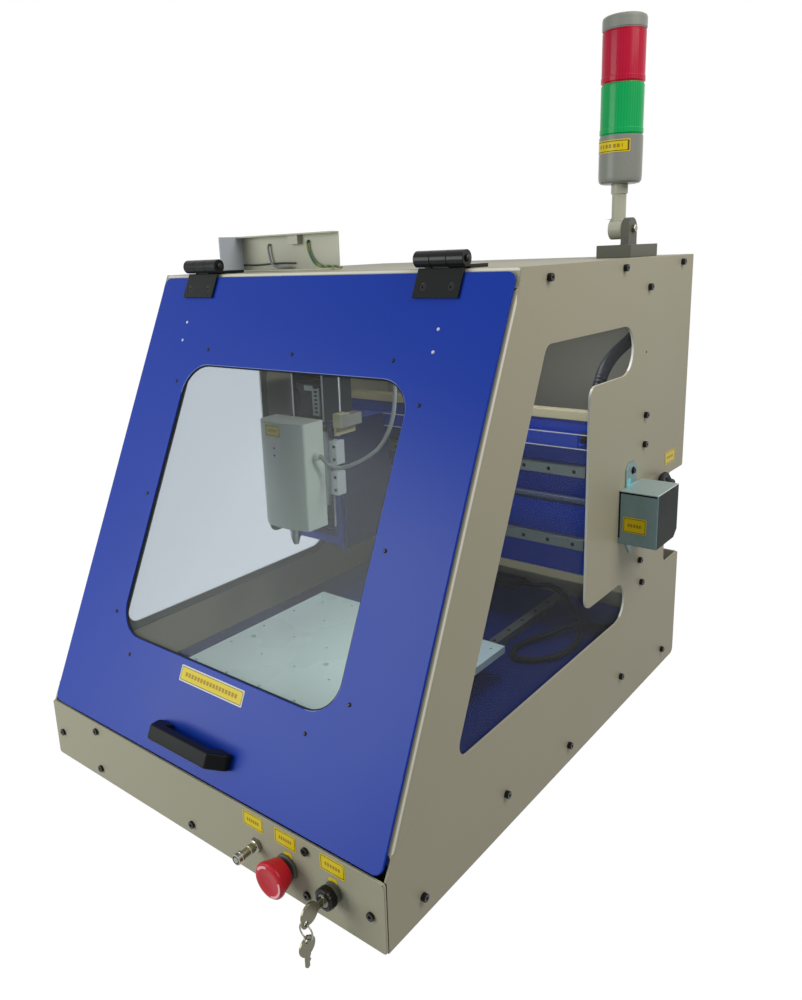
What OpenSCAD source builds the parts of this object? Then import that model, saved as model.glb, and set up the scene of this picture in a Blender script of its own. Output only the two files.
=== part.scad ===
// Bench-top circuit board prototyping machine: a sheet metal enclosure with a sloping
// front door, a drilling and milling head on a fixed gantry, and a moving work table.
// Lengths are in millimetres. X is the width, Y runs to the back, Z is up.
// Inside the modules z = 0 is the underside of the base sheet and y = 0 the front face.

/* [Overall size] */
// Width over the two side plates
body_w = 545; // [450:1:660]
// Depth from the front strip to the rear panel
body_d = 720; // [600:1:870]
// Height of the roof above the base
body_h = 600; // [500:1:720]
// Height of the front control strip
strip_h = 76; // [72:1:92]
// Distance from the front face back to the start of the roof
roof_setback = 242; // [200:1:290]
// Height of the rubber feet
foot_height = 22; // [18:1:40]

/* [Sheet metal] */
// Thickness of the enclosure sheets
sheet_t = 3; // [2:0.5:4]
// Width of the flange bent inwards along the slope
flange_w = 20; // [16:1:30]
// Corner radius of the side windows
side_window_r = 15; // [8:1:22]

/* [Door] */
// Width of the door window
door_window_w = 352; // [280:1:380]
// Lower edge of the door window, measured up the slope
door_window_low = 115; // [100:1:140]
// Upper edge of the door window, measured up the slope
door_window_high = 458; // [400:1:500]
// Corner radius of the door window
door_window_r = 38; // [20:1:50]
// Thickness of the door pane
door_pane_t = 4; // [3:0.5:6]
// Outer radius of the hinge barrels
hinge_r = 8.5; // [7.5:0.1:9]
// Length of a hinge barrel
hinge_len = 61; // [52:1:74]

/* [Table] */
// Width of the work table
table_w = 324; // [270:1:360]
// Depth of the work table
table_d = 300; // [250:1:320]
// Height of the table top above the base
table_top = 110; // [104:1:130]

/* [Gantry and head] */
// Height of the underside of the lower beam
beam_low = 156; // [150:1:170]
// Height of the underside of the upper beam
beam_high = 389; // [384:1:420]
// Radius of the spindle body
spindle_r = 22; // [18:0.5:23]
// Radius of the lead screws of the table and the gantry
screw_r = 6; // [5:0.5:7]

/* [Front controls] */
// Radius of the stop button head
stop_head_r = 19; // [16:0.5:22]
// Radius of the key switch ring
key_switch_r = 10.8; // [9.8:0.2:13]

/* [Signal tower] */
// Radius of the tower body
tower_r = 27; // [22:0.5:30]
// Height of one lens
lens_h = 61; // [50:1:70]

/* [Hidden] */
$fn = 48;
half_w = body_w / 2;
inner_w = half_w - sheet_t;
slope_a = atan(roof_setback / (body_h - strip_h));
slope_len = norm([roof_setback, body_h - strip_h]);
// gap between the back of the door and the flanges behind it
door_gap = 0.3;
flange_in = sheet_t + door_gap;
// distance the slanted plate edge stands back, measured along y
edge_back = flange_in / cos(slope_a);
// running fit of a pin or shaft in its bore, and clearance of sliding faces
run_fit = 0.06;
slide_gap = 0.3;
lip_base = 56;
lip_front = 70;
lip_roof = 48;
lip_slope = 20;
// side windows
win_in = 88;
win_low = 134;
win_high = body_h - 79;
win_low_band = 53;
win_high_band = 60;
win_rear = body_d - 199;
win_tongue = body_d - 320;
pane_over = 10;
pane_side_t = 3;
notch_low = 166;
notch_high = 300;
notch_d = 60;
// how far the notch goes round the corner into the rear panel
notch_w = 25;
// gantry
beam_y = body_d - 175;
beam_h = 12;
beam_d = 20;
plate_y = beam_y + 3;
rail_w = 15;
rail_h = 13;
rail_half = half_w - 66.5;
rail_gap = 11.5;
x_rail_high = beam_high - 69;
x_rail_low = beam_low + 60;
x_screw_y = beam_y - 18;
x_screw_z = 282;
motor_w = 57;
motor_len = 44;
boss_r = 19;
boss_h = 1.6;
shaft_r = 3.2;
coupling_r = 10;
// carriage, centred on head_x
head_x = -(half_w - 100.5);
frame_y = beam_y - 37;
cheek_out = 57.5;
cheek_in = 42.5;
cheek_y = frame_y - 98;
cheek_top = 375;
cheek_low = 188;
top_plate = 381;
z_rail_x = 50;
z_rail_w = 12;
z_rail_y = cheek_y - 8;
z_screw_y = cheek_y + 22;
z_screw_r = 5;
z_motor_top = 435;
// head
block_y = z_rail_y - 14;
head_y = block_y - 8;
spindle_y = head_y - spindle_r;
cover_half = 47;
cover_low = 232;
cover_high = 390;
cover_t = 2;
cover_front = head_y - 49;
nose_r = 7.5;
// table
rail_x = 110;
deck_z = 60;
deck_t = 6;
table_y = 100;
y_screw_z = 45;
y_bear_front = 30;
y_bear_rear = body_d - 120;
y_motor_y = body_d - 62;
// controls
plug_x = 106;
plug_z = 39;
stop_x = 149;
stop_z = 34;
stop_barrel_r = 10.8;
stop_stem_r = 6;
key_x = 211;
key_z = 38;
key_plug_r = 7;
key_t = 2.2;
key_bow_t = 2.4;
key_hole = [-39.5, 31.5];
key_hole_r = 2.6;
ring_r = 8;
ring_wire = 0.8;
// the ring hangs this far off the middle of each hole; a little less in the bow, which is thicker
ring_drop = key_hole_r - ring_wire - slide_gap;
bow_drop = ring_drop - 0.4;
ring_z = key_hole[1] - bow_drop - ring_r;
spare_hole = [key_hole[0], ring_z - ring_r - ring_drop];
// roof parts
hinge_y = roof_setback - 1;
hinge_z = body_h + 10;
hinge_pin_r = 2.5;
hinge_left_x = -(half_w - 82.5);
hinge_right_x = half_w - 91.5;
leaf_half = 28;
leaf_screw_s = slope_len - 21;
tray_x = -(half_w - 41.5);
tray_len = 180;
tray_y = roof_setback + 63;
tray_d = 45;
tray_h = 47.5;
tray_t = 2;
tower_x = half_w - 60.5;
tower_y = body_d - 116;
pivot_z = body_h + 36;
tower_low = body_h + 92;
pole_r = 9;
// X motor cover
cover_x = 50;
box_y = x_screw_y - 35;
box_z = x_screw_z - 35;
box_w = 70;
box_t = 1.5;
hose_r = 8;
// fasteners
bolt_r = 2.5;
bolt_head_r = 4.25;
bolt_gap = 0.1;
side_bolts = [
  [roof_setback + 53, body_h - 12], [body_d - 236, body_h - 10],
  [body_d - 44, body_h - 9], [body_d - 157, body_h - 36],
  [beam_y + 21, beam_high + 12], [beam_y + 21, beam_high - 27],
  [beam_y + 21, beam_low + 45], [beam_y + 30, beam_low + 10],
  [57, 24], [212, 44.5], [363, 24.5], [body_d - 204, 49], [body_d - 52, 26]];
strip_bolts = [
  [-(half_w - 16.5), 35], [half_w - 16.5, 35], [-176, 65], [176, 65],
  [-175, 14], [0, 14], [175, 14]];
door_pane_half = door_window_w / 2 + 23;
door_pane_low = door_window_low - 30;
door_pane_high = door_window_high + 27;
door_bolts = concat(
  [for (x = [-146, 146]) [x, door_window_low - 22]],
  [for (x = [-146, 0, 146]) [x, door_window_high + 20]],
  [for (side = [-1, 1]) for (s = [0.06, 0.5, 0.93])
    [side * (door_window_w / 2 + 15), door_window_low + s * (door_window_high - door_window_low)]]);
door_rivets = [
  [-200, slope_len - 65], [-200, slope_len - 89], [193, slope_len - 64], [193, slope_len - 88]];
leaf_bolts = [-17.2, 17.2];

// ---- shared shapes ----
module placed() translate([0, -body_d / 2, foot_height]) children();
module on_slope() translate([0, 0, strip_h]) rotate([-slope_a, 0, 0]) children();
module block(a, b) translate(a) cube(b - a);
module rod_x(x0, x1, y, z, r) translate([x0, y, z]) rotate([0, 90, 0]) cylinder(h = x1 - x0, r = r);
module rod_y(y0, y1, x, z, r) translate([x, y1, z]) rotate([90, 0, 0]) cylinder(h = y1 - y0, r = r);
module rod_z(z0, z1, x, y, r) translate([x, y, z0]) cylinder(h = z1 - z0, r = r);
// outline in (y, z) given thickness along x
module yz(x0, x1, p) translate([x0, 0, 0]) rotate([90, 0, 90]) linear_extrude(x1 - x0) polygon(p);
// outline in (x, z) given thickness along y
module xz(y0, y1, p) translate([0, y1, 0]) rotate([90, 0, 0]) linear_extrude(y1 - y0) polygon(p);
// turned shape about y: p lists [radius, distance towards the back]
module turned_y(x, z, p) translate([x, 0, z]) rotate([-90, 0, 0]) rotate_extrude() polygon(p);
module turned_x(y, z, p) translate([0, y, z]) rotate([0, 90, 0]) rotate_extrude() polygon(p);
module turned_z(x, y, p) translate([x, y, 0]) rotate_extrude() polygon(p);

function unit(v) = v / norm(v);
function swing(a) = a > 180 ? a - 360 : a < -180 ? a + 360 : a;
// points of an arc that rounds the corner b between a and c
function arc(a, b, c, r, n) = let(
  u = unit(a - b), v = unit(c - b), half = acos(u * v) / 2,
  m = b + unit(u + v) * r / sin(half),
  p = b + u * r / tan(half) - m, q = b + v * r / tan(half) - m,
  a0 = atan2(p[1], p[0]), da = swing(atan2(q[1], q[0]) - a0))
  [for (i = [0:n]) m + r * [cos(a0 + da * i / n), sin(a0 + da * i / n)]];
// outline p with corner radii r (0 keeps a corner sharp)
function rounded(p, r, n = 6) = let(k = len(p)) [for (i = [0:k - 1])
  each r[i] == 0 ? [p[i]] : arc(p[(i + k - 1) % k], p[i], p[(i + 1) % k], r[i], n)];
function rect(x0, y0, x1, y1) = [[x0, y0], [x1, y0], [x1, y1], [x0, y1]];
function rrect(x0, y0, x1, y1, r, n = 6) = rounded(rect(x0, y0, x1, y1), [r, r, r, r], n);
// machine (y, z) of a point given by its depth behind the door face and height up the slope
function on_yz(d, s) = [s * sin(slope_a) + d * cos(slope_a), strip_h + s * cos(slope_a) - d * sin(slope_a)];
function slope_s(z, d) = (z - strip_h + d * sin(slope_a)) / cos(slope_a);

// tube of n sides through the points p; side is a direction the path never takes
function ring_at(p, i, r, n, side) = let(
  k = len(p) - 1, t = unit(p[min(i + 1, k)] - p[max(i - 1, 0)]),
  u = unit(cross(t, side)), w = cross(t, u))
  [for (j = [0:n - 1]) p[i] + r * (cos(360 * j / n) * u + sin(360 * j / n) * w)];
module tube(p, r, n, side) {
  k = len(p);
  polyhedron(
    [for (i = [0:k - 1]) each ring_at(p, i, r, n, side)],
    concat(
      [[for (j = [0:n - 1]) j]],
      [[for (j = [n - 1:-1:0]) (k - 1) * n + j]],
      [for (i = [0:k - 2]) for (j = [0:n - 1])
        [i * n + j, (i + 1) * n + j, (i + 1) * n + (j + 1) % n, i * n + (j + 1) % n]]));
}

// ---- enclosure ----
module base_plate() color("tan") placed() difference() {
  union() {
    block([-inner_w, sheet_t, 0], [inner_w, body_d - sheet_t, sheet_t]);
    block([-inner_w, sheet_t, 0], [inner_w, 2 * sheet_t, lip_front]);
    block([-inner_w, body_d - 2 * sheet_t, 0], [inner_w, body_d - sheet_t, 40]);
    for (x = [-inner_w, inner_w - sheet_t])
      block([x, sheet_t, 0], [x + sheet_t, body_d - sheet_t, lip_base]);
  }
  for (p = side_bolts) if (p[1] < 60)
    rod_x(-half_w, half_w, p[0], p[1], bolt_r + bolt_gap);
  for (p = strip_bolts)
    rod_y(0, 3 * sheet_t, p[0], p[1], bolt_r + bolt_gap);
  rod_y(0, 3 * sheet_t, plug_x, plug_z, 6.2);
  rod_y(0, 3 * sheet_t, stop_x, stop_z, stop_barrel_r + bolt_gap);
  rod_y(0, 3 * sheet_t, key_x, key_z, key_switch_r - 1.3);
  for (x = [-1, 1]) for (y = [60, body_d - 60])
    rod_z(-1, sheet_t + 1, x * (half_w - 55), y, 5);
}

function window_outline(o) = let(
  k = roof_setback / (body_h - strip_h), d = win_in - o / cos(slope_a),
  low = win_low - o, high = win_high + o, rear = win_rear + o, tongue = win_tongue + o,
  band_low = win_low + win_low_band + o, band_high = win_high - win_high_band - o,
  r1 = (band_low - low) / 2 - 0.5, r2 = (high - band_high) / 2 - 0.5)
  rounded([
    [k * (low - strip_h) + d, low], [rear, low], [rear, band_low], [tongue, band_low],
    [tongue, band_high], [rear, band_high], [rear, high], [k * (high - strip_h) + d, high]],
    [side_window_r, r1, r1, side_window_r, side_window_r, r2, r2, side_window_r], 7);

module side_sheet(side) {
  x = side < 0 ? -half_w : inner_w;
  difference() {
    yz(x, x + sheet_t, rounded([
      [sheet_t, 0], [body_d, 0], [body_d, notch_low], [body_d - notch_d, notch_low],
      [body_d - notch_d, notch_high], [body_d, notch_high], [body_d, body_h],
      [roof_setback + edge_back, body_h], [edge_back, strip_h]],
      [0, 8, 3, 12, 12, 3, 0, 0, 0]));
    yz(-half_w - 1, half_w + 1, window_outline(0));
    for (p = side_bolts)
      rod_x(-half_w - 1, half_w + 1, p[0], p[1], bolt_r + bolt_gap);
  }
  on_slope() block(
    [side < 0 ? -half_w : half_w - sheet_t - flange_w, flange_in, 24],
    [side < 0 ? -half_w + sheet_t + flange_w : half_w, flange_in + sheet_t, slope_len - lip_slope - 2]);
}
module side_plate_left() color("tan") placed() side_sheet(-1);
module side_plate_right() color("tan") placed() difference() {
  side_sheet(1);
  rod_x(inner_w - 1, half_w + 1, x_screw_y, x_screw_z, boss_r + 0.3);
  rod_x(inner_w - 1, half_w + 1, x_screw_y + 3, x_screw_z + 53, bolt_r + bolt_gap);
}
module side_windows() color("lightcyan", 0.4) placed() for (x = [-inner_w, inner_w - pane_side_t])
  yz(x, x + pane_side_t, window_outline(pane_over));

module front_strip() color("tan") placed() difference() {
  xz(0, sheet_t, rrect(-half_w, 0, half_w, strip_h, 4));
  for (p = strip_bolts)
    rod_y(-1, 2 * sheet_t, p[0], p[1], bolt_r + bolt_gap);
  rod_y(-1, 2 * sheet_t, plug_x, plug_z, 6.2);
  rod_y(-1, 2 * sheet_t, stop_x, stop_z, stop_barrel_r + bolt_gap);
  rod_y(-1, 2 * sheet_t, key_x, key_z, key_switch_r - 1.3);
}

module roof_plate() color("tan") placed() difference() {
  union() {
    yz(-inner_w, inner_w, [
      on_yz(flange_in, slope_len - lip_slope), on_yz(flange_in, slope_s(body_h, flange_in)),
      [body_d - sheet_t, body_h], [body_d - sheet_t, body_h - sheet_t],
      on_yz(flange_in + sheet_t, slope_s(body_h - sheet_t, flange_in + sheet_t)),
      on_yz(flange_in + sheet_t, slope_len - lip_slope)]);
    for (x = [-inner_w, inner_w - sheet_t])
      block([x, roof_setback + 12, body_h - lip_roof], [x + sheet_t, body_d - sheet_t, body_h - 1]);
    block([-inner_w, body_d - 2 * sheet_t, body_h - 40], [inner_w, body_d - sheet_t, body_h - 1]);
  }
  for (p = side_bolts) if (p[1] > body_h - lip_roof)
    rod_x(-half_w, half_w, p[0], p[1], bolt_r + bolt_gap);
  for (x = [hinge_left_x, hinge_right_x]) for (dx = leaf_bolts)
    rod_z(body_h - 9, body_h + 1, x + dx, hinge_y + 28, 2.1);
}

module rear_panel() color("tan") placed() difference() {
  block([-inner_w, body_d - sheet_t, 0], [inner_w, body_d, body_h]);
  block([-204, body_d - 9, 46], [-156, body_d + 1, 74]);
  rod_y(body_d - 9, body_d + 1, half_w - 47, body_h - 95, hose_r + 0.6);
  for (x = [-inner_w - 1, inner_w - notch_w])
    block([x, body_d - 9, notch_low], [x + notch_w + 1, body_d + 1, notch_high]);
  for (i = [0:7])
    block([-90, body_d - 9, 240 + 14 * i], [90, body_d + 1, 245 + 14 * i]);
}

module rubber_feet() color("dimgray") placed() for (x = [-1, 1]) for (y = [60, body_d - 60])
  turned_z(x * (half_w - 55), y, [
    [0, -foot_height], [13, -foot_height], [15, 0], [4.9, 0], [4.9, sheet_t],
    [6.5, sheet_t + 0.5], [4, sheet_t + 7], [0, sheet_t + 7]]);

// socket head: outline [radius, height], head above zero and shank below
function bolt_outline(r, hr, hh, len) = [
  [0, -len], [r, -len], [r, 0], [hr, 0], [hr, hh - 0.6], [hr - 0.6, hh],
  [hr * 0.5, hh], [hr * 0.5, hh * 0.45], [0, hh * 0.45]];
module frame_screws() color("black") placed() {
  for (side = [-1, 1]) for (p = side_bolts)
    translate([side * half_w, p[0], p[1]]) rotate([0, side * 90, 0])
      rotate_extrude() polygon(bolt_outline(bolt_r, bolt_head_r, 5, 2.6 * sheet_t));
  for (p = strip_bolts)
    translate([p[0], 0, p[1]]) rotate([90, 0, 0])
      rotate_extrude() polygon(bolt_outline(bolt_r, bolt_head_r, 3, 2.6 * sheet_t));
  translate([half_w + box_t, x_screw_y + 3, x_screw_z + 53]) rotate([0, 90, 0])
    rotate_extrude() polygon(bolt_outline(bolt_r, bolt_head_r, 3, 2.6 * sheet_t));
  for (x = [hinge_left_x, hinge_right_x]) for (dx = leaf_bolts)
    turned_z(x + dx, hinge_y + 28, [
      [0, body_h - 8], [2, body_h - 8], [2, body_h + 1.6], [4, body_h + 3.8], [0, body_h + 3.8]]);
}

// ---- gantry ----
module one_beam(z0, low) {
  difference() {
    union() {
      block([-inner_w + 5, beam_y, z0], [inner_w - 5, beam_y + beam_d, z0 + beam_h]);
      for (x = [-inner_w, inner_w - 6])
        block([x, beam_y - 5, z0 + low], [x + 6, beam_y + 45, z0 + low + 62]);
    }
    for (p = side_bolts)
      rod_x(-half_w, half_w, p[0], p[1], bolt_r + bolt_gap);
  }
}
module gantry_beams() color("wheat") placed() {
  one_beam(beam_high, -39);
  one_beam(beam_low, -11);
}
module gantry_plate() color("royalblue") placed() difference() {
  union() {
    block([7.5 - inner_w, plate_y, beam_low + beam_h], [inner_w - 7.5, plate_y + 8, beam_high]);
    block([-inner_w + 14, plate_y - 38, x_screw_z - 18], [-inner_w + 29, plate_y + 1, x_screw_z + 18]);
    block([inner_w - 37, plate_y - 38, x_screw_z - 18], [inner_w - 23, plate_y + 1, x_screw_z + 18]);
    block([-200, plate_y - 25, beam_high - 34], [200, plate_y + 1, beam_high - 32]);
    block([-200, plate_y - 25, beam_high - 34], [200, plate_y - 23, beam_high - 13]);
  }
  rod_x(-inner_w, inner_w, x_screw_y, x_screw_z, screw_r + run_fit);
}
module guide_rails() color("silver") placed() {
  for (z = [x_rail_high, x_rail_low])
    block([-rail_half, plate_y - rail_h, z - rail_w / 2], [rail_half, plate_y, z + rail_w / 2]);
  for (x = [-rail_x, rail_x])
    block([x - rail_w / 2, 40, deck_z + deck_t], [x + rail_w / 2, body_d - 40, deck_z + deck_t + rail_h]);
}
// square flange motor: front face at z = 0, body below, blind bore for the shaft
module step_motor(w, len) difference() {
  union() {
    translate([0, 0, -len]) linear_extrude(len)
      polygon(rrect(-w / 2, -w / 2, w / 2, w / 2, 5));
    cylinder(h = boss_h, r = boss_r);
  }
  translate([0, 0, -len * 0.6]) cylinder(h = len, r = shaft_r + 0.3);
}
module axis_motors() color("dimgray") placed() {
  translate([half_w, x_screw_y, x_screw_z]) rotate([0, -90, 0]) step_motor(motor_w, motor_len);
  translate([0, y_motor_y, y_screw_z]) rotate([90, 0, 0]) step_motor(motor_w, motor_len);
}
// lead screw with coupling and motor shaft: outline [radius, position]
function screw_outline(p0, p1, p2, p3, r) = [
  [0, p0], [r, p0], [r, p1], [coupling_r, p1], [coupling_r, p2],
  [shaft_r, p2], [shaft_r, p3], [0, p3]];
module x_screw() color("silver") placed() turned_x(x_screw_y, x_screw_z,
  screw_outline(-inner_w + 13.5, inner_w - 22.5, inner_w - 2.5, half_w + 22, screw_r));
module y_screw() color("silver") placed() turned_y(0, y_screw_z,
  screw_outline(y_bear_front, y_motor_y - 36, y_motor_y - 14, y_motor_y + 22, screw_r));

module x_motor_cover() color("lightgray") placed() difference() {
  union() {
    difference() {
      yz(half_w, half_w + cover_x, rect(box_y, box_z, box_y + box_w, box_z + box_w));
      yz(half_w - 1, half_w + cover_x - box_t,
        rect(box_y + box_t, box_z + box_t, box_y + box_w - box_t, box_z + box_w - box_t));
    }
    yz(half_w, half_w + box_t, rounded([
      [box_y + 17, box_z + box_w - 1], [box_y + 52, box_z + box_w - 1],
      [box_y + 52, box_z + box_w + 22], [box_y + 44, box_z + box_w + 30],
      [box_y + 25, box_z + box_w + 30], [box_y + 17, box_z + box_w + 22]], [0, 0, 2, 2, 2, 2]));
    yz(half_w, half_w + box_t, rounded([
      [box_y + 16, box_z + 1], [box_y + 38, box_z - 25], [box_y + 42, box_z - 25],
      [box_y + 42, box_z + 1]], [0, 1.5, 1.5, 0]));
  }
  rod_x(half_w - 1, half_w + 3, x_screw_y + 3, x_screw_z + 53, bolt_r + bolt_gap);
  // the lower rear corner of the outer face is cut away
  yz(half_w + cover_x - box_t - 1, half_w + cover_x + 1, [
    [box_y + box_w - 12, box_z - 1], [box_y + box_w + 1, box_z - 1], [box_y + box_w + 1, box_z + 10]]);
}

// ---- bed and table ----
module bed_frame() color("royalblue") placed() difference() {
  union() {
    block([-inner_w + 7.5, y_bear_front, deck_z], [inner_w - 7.5, body_d - 30, deck_z + deck_t]);
    for (x = [-rail_x, rail_x])
      block([x - 15, y_bear_front, sheet_t], [x + 15, body_d - 30, deck_z + 1]);
    block([-rail_x, y_bear_front, sheet_t], [rail_x, y_bear_front + 20, deck_z + 1]);
    block([-rail_x, y_bear_rear, sheet_t], [rail_x, y_bear_rear + 15, deck_z + 1]);
    block([-rail_x, y_motor_y - 8, sheet_t], [rail_x, y_motor_y, deck_z + 1]);
  }
  block([-20, table_y + 90, deck_z - 1], [20, y_bear_rear - 70, deck_z + deck_t + 1]);
  block([-30, y_motor_y, deck_z - 1], [30, body_d, deck_z + deck_t + 1]);
  rod_y(y_bear_front - 1, y_bear_rear + 20, 0, y_screw_z, screw_r + run_fit);
  rod_y(y_motor_y - 9, y_motor_y + 1, 0, y_screw_z, boss_r + 0.3);
}
module work_table() color("ivory") placed() difference() {
  block([-table_w / 2, table_y, table_top - 10], [table_w / 2, table_y + table_d, table_top]);
  for (i = [-2.5:2.5]) for (j = [0:4])
    rod_z(table_top - 6, table_top + 1, i * table_w / 5.4, table_y + table_d * (0.127 + 0.205 * j), 2);
  // screws down into the table plate
  for (q = [[-0.426, 0.43], [0.426, 0.43], [-0.426, 0.897], [0.426, 0.897], [0, 0.423]])
    rod_z(table_top - 5, table_top + 1, q[0] * table_w, table_y + q[1] * table_d, 4);
}
module table_plate() color("silver") placed() difference() {
  union() {
    block([12 - table_w / 2, table_y + 10, table_top - 16],
      [table_w / 2 - 12, table_y + table_d - 10, table_top - 10]);
    block([-16, table_y + table_d / 2 - 15, y_screw_z - 12],
      [16, table_y + table_d / 2 + 15, table_top - 15]);
  }
  rod_y(table_y, table_y + table_d, 0, y_screw_z, screw_r + slide_gap);
}
module table_blocks() color("silver") placed() for (x = [-rail_x, rail_x]) for (y = [0.18, 0.82])
  translate([x, table_y + table_d * y, 0]) difference() {
    block([-17, -28, deck_z + deck_t + 5], [17, 28, table_top - 16]);
    block([-rail_w / 2 - slide_gap, -30, deck_z], [rail_w / 2 + slide_gap, 30, deck_z + deck_t + rail_h + slide_gap]);
  }

// ---- carriage and head, drawn about the carriage centre line ----
module at_head() placed() translate([head_x, 0, 0]) children();
module z_frame() color("royalblue") at_head() difference() {
  union() {
    block([-cheek_out, frame_y, cheek_low], [cheek_out, frame_y + 12, 345]);
    for (x = [-cheek_out, cheek_in])
      block([x, cheek_y, cheek_low], [x + 15, frame_y + 1, cheek_top]);
    block([-cheek_out, cheek_y - 7, cheek_top - 1], [cheek_out, frame_y - 3, top_plate]);
    block([-cheek_in - 1, cheek_y, 190], [cheek_in + 1, frame_y + 1, 202]);
    for (x = [-z_rail_x, z_rail_x])
      block([x - z_rail_w / 2, z_rail_y, 190], [x + z_rail_w / 2, cheek_y + 1, 372]);
    block([-20, frame_y + 11, x_screw_z - 16], [20, plate_y - 3, x_screw_z + 16]);
  }
  rod_x(-90, 90, x_screw_y, x_screw_z, screw_r + slide_gap);
  rod_z(180, 210, 0, z_screw_y, z_screw_r + run_fit);
  rod_z(cheek_top - 5, top_plate + 1, 0, z_screw_y, boss_r + 0.3);
}
module x_blocks() color("silver") at_head() for (z = [x_rail_high, x_rail_low]) difference() {
  block([-30, frame_y + 12, z - 17], [30, plate_y - 4.5, z + 17]);
  block([-31, plate_y - rail_h - slide_gap, z - rail_w / 2 - slide_gap],
    [31, plate_y, z + rail_w / 2 + slide_gap]);
}
module z_motor() color("dimgray") at_head()
  translate([0, z_screw_y, top_plate]) mirror([0, 0, 1]) step_motor(motor_w, z_motor_top - top_plate);
module z_motor_bracket() color("lightgray") at_head() {
  difference() {
    block([-motor_w / 2 - 3, z_screw_y - 32, top_plate], [motor_w / 2 + 3, z_screw_y + 32, top_plate + 72]);
    block([-motor_w / 2, z_screw_y - 33, top_plate - 1], [motor_w / 2, z_screw_y + 33, top_plate + 69]);
  }
}
module limit_sensor() color("wheat") at_head() {
  block([cheek_out, cheek_y - 18, 365], [cheek_out + 3, cheek_y + 26, 379]);
  block([cheek_out, cheek_y - 20, 378], [cheek_out + 16, cheek_y, 398]);
  block([cheek_out, cheek_y, 378], [cheek_out + 16, cheek_y + 26, 395]);
  rod_z(397, 456, cheek_out + 5, cheek_y - 8, 1.75);
}
module head_plate() color("silver") at_head() difference() {
  union() {
    block([-z_rail_x, head_y, 262], [z_rail_x, block_y, 372]);
    block([-30, head_y - 28, 288], [30, head_y + 1, 330]);
    block([-14, block_y - 1, 300], [14, z_screw_y + 15, 330]);
  }
  rod_z(280, 380, 0, spindle_y, spindle_r + 0.2);
  rod_z(290, 340, 0, z_screw_y, z_screw_r + slide_gap);
}
module z_blocks() color("silver") at_head() for (x = [-z_rail_x, z_rail_x]) for (z = [277, 323])
  difference() {
    block([x - 13.5, block_y, z], [x + 13.5, z_rail_y + 4, z + 35]);
    block([x - z_rail_w / 2 - slide_gap, z_rail_y - slide_gap, z - 1],
      [x + z_rail_w / 2 + slide_gap, z_rail_y + 5, z + 36]);
  }
// plan outline of the head cover, o inwards
function cover_plan(o) = rounded([
  [-cover_half + o, head_y], [-cover_half + o, cover_front + 3 + o], [11, cover_front + o],
  [cover_half - o, cover_front + 9 + o], [cover_half - o, head_y]], [0, 25 - o, 0, 4, 0]);
module head_cover() color("tan") at_head() difference() {
  union() {
    difference() {
      translate([0, 0, cover_low]) linear_extrude(cover_high - cover_low) polygon(cover_plan(0));
      translate([0, 0, cover_low - 1]) linear_extrude(cover_high - cover_low - cover_t + 1)
        polygon(cover_plan(cover_t));
      block([-cover_half + cover_t, head_y - 3, cover_low - 1], [cover_half - cover_t, head_y + 1, cover_high - cover_t]);
    }
    rod_x(cover_half - 1, cover_half + 9, head_y - 19, 341, 5.5);
  }
  // rounded lower left corner
  xz(cover_front - 1, head_y + 1, concat(
    [[-cover_half - 1, cover_low - 1], [-cover_half + 22, cover_low - 1]],
    [for (i = [0:6]) [-cover_half + 22 - 22 * sin(15 * i), cover_low + 22 - 22 * cos(15 * i)]],
    [[-cover_half - 1, cover_low + 22]]));
}
module spindle_body() color("silver") at_head() turned_z(0, spindle_y, [
  [nose_r + run_fit, 240], [spindle_r - 2, 240], [spindle_r, 242], [spindle_r, 378],
  [spindle_r - 2, 380], [0, 380], [0, 264], [nose_r + run_fit, 264]]);
module spindle_nose() color("silver") at_head() turned_z(0, spindle_y, [
  [0, 262], [nose_r, 262], [nose_r, 236], [9, 236], [9, 222], [7.5, 222], [7.5, 212],
  [4, 200], [1.6, 200], [1.6, 212], [0, 212]]);
module z_screw() color("silver") at_head() turned_z(0, z_screw_y, [
  [0, 192], [z_screw_r, 192], [z_screw_r, 346], [9, 346], [9, 366], [shaft_r, 366],
  [shaft_r, top_plate + 20], [0, top_plate + 20]]);
conduit_path = [
  [cover_half + 9.6, head_y - 19, 341], [cover_half + 11.5, head_y - 18.8, 340.8],
  [62, head_y - 9, 328], [72, head_y + 2, 322],
  [89, head_y + 6, 326], [113, head_y + 9, 338], [138, head_y + 12, 356], [153, head_y + 15, 378],
  [160, head_y + 17, 397], [163, head_y + 19, 416], [165, head_y + 20, 449], [165, head_y + 22, 500],
  [162, head_y + 26, 550], [161, head_y + 28, 575], [161, head_y + 28, body_h - sheet_t - 0.1]];
module conduit() color("gray") at_head() tube(conduit_path, 3, 8, [0, 1, 0]);

// ---- door ----
module door_panel() color("royalblue") placed() on_slope() difference() {
  xz(0, sheet_t, rrect(-half_w + 5, sheet_t, half_w - 5, slope_len - 4, 10));
  xz(-1, sheet_t + 1, rrect(-door_window_w / 2, door_window_low, door_window_w / 2, door_window_high,
    door_window_r, 10));
  for (p = concat(door_bolts, door_rivets))
    rod_y(-1, sheet_t + 1, p[0], p[1], 2.1);
  for (x = [hinge_left_x, hinge_right_x]) for (dx = leaf_bolts)
    rod_y(-1, sheet_t + 1, x + dx, leaf_screw_s, 2.1);
  for (x = [-49, 49])
    rod_y(-1, sheet_t + 1, x, 33.5, 2.6);
}
module door_window() color("lightcyan", 0.4) placed() on_slope() difference() {
  xz(sheet_t, sheet_t + door_pane_t,
    rrect(-door_pane_half, door_pane_low, door_pane_half, door_pane_high, 20));
  for (p = door_bolts)
    rod_y(0, sheet_t + door_pane_t + 1, p[0], p[1], 2.1);
}
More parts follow.
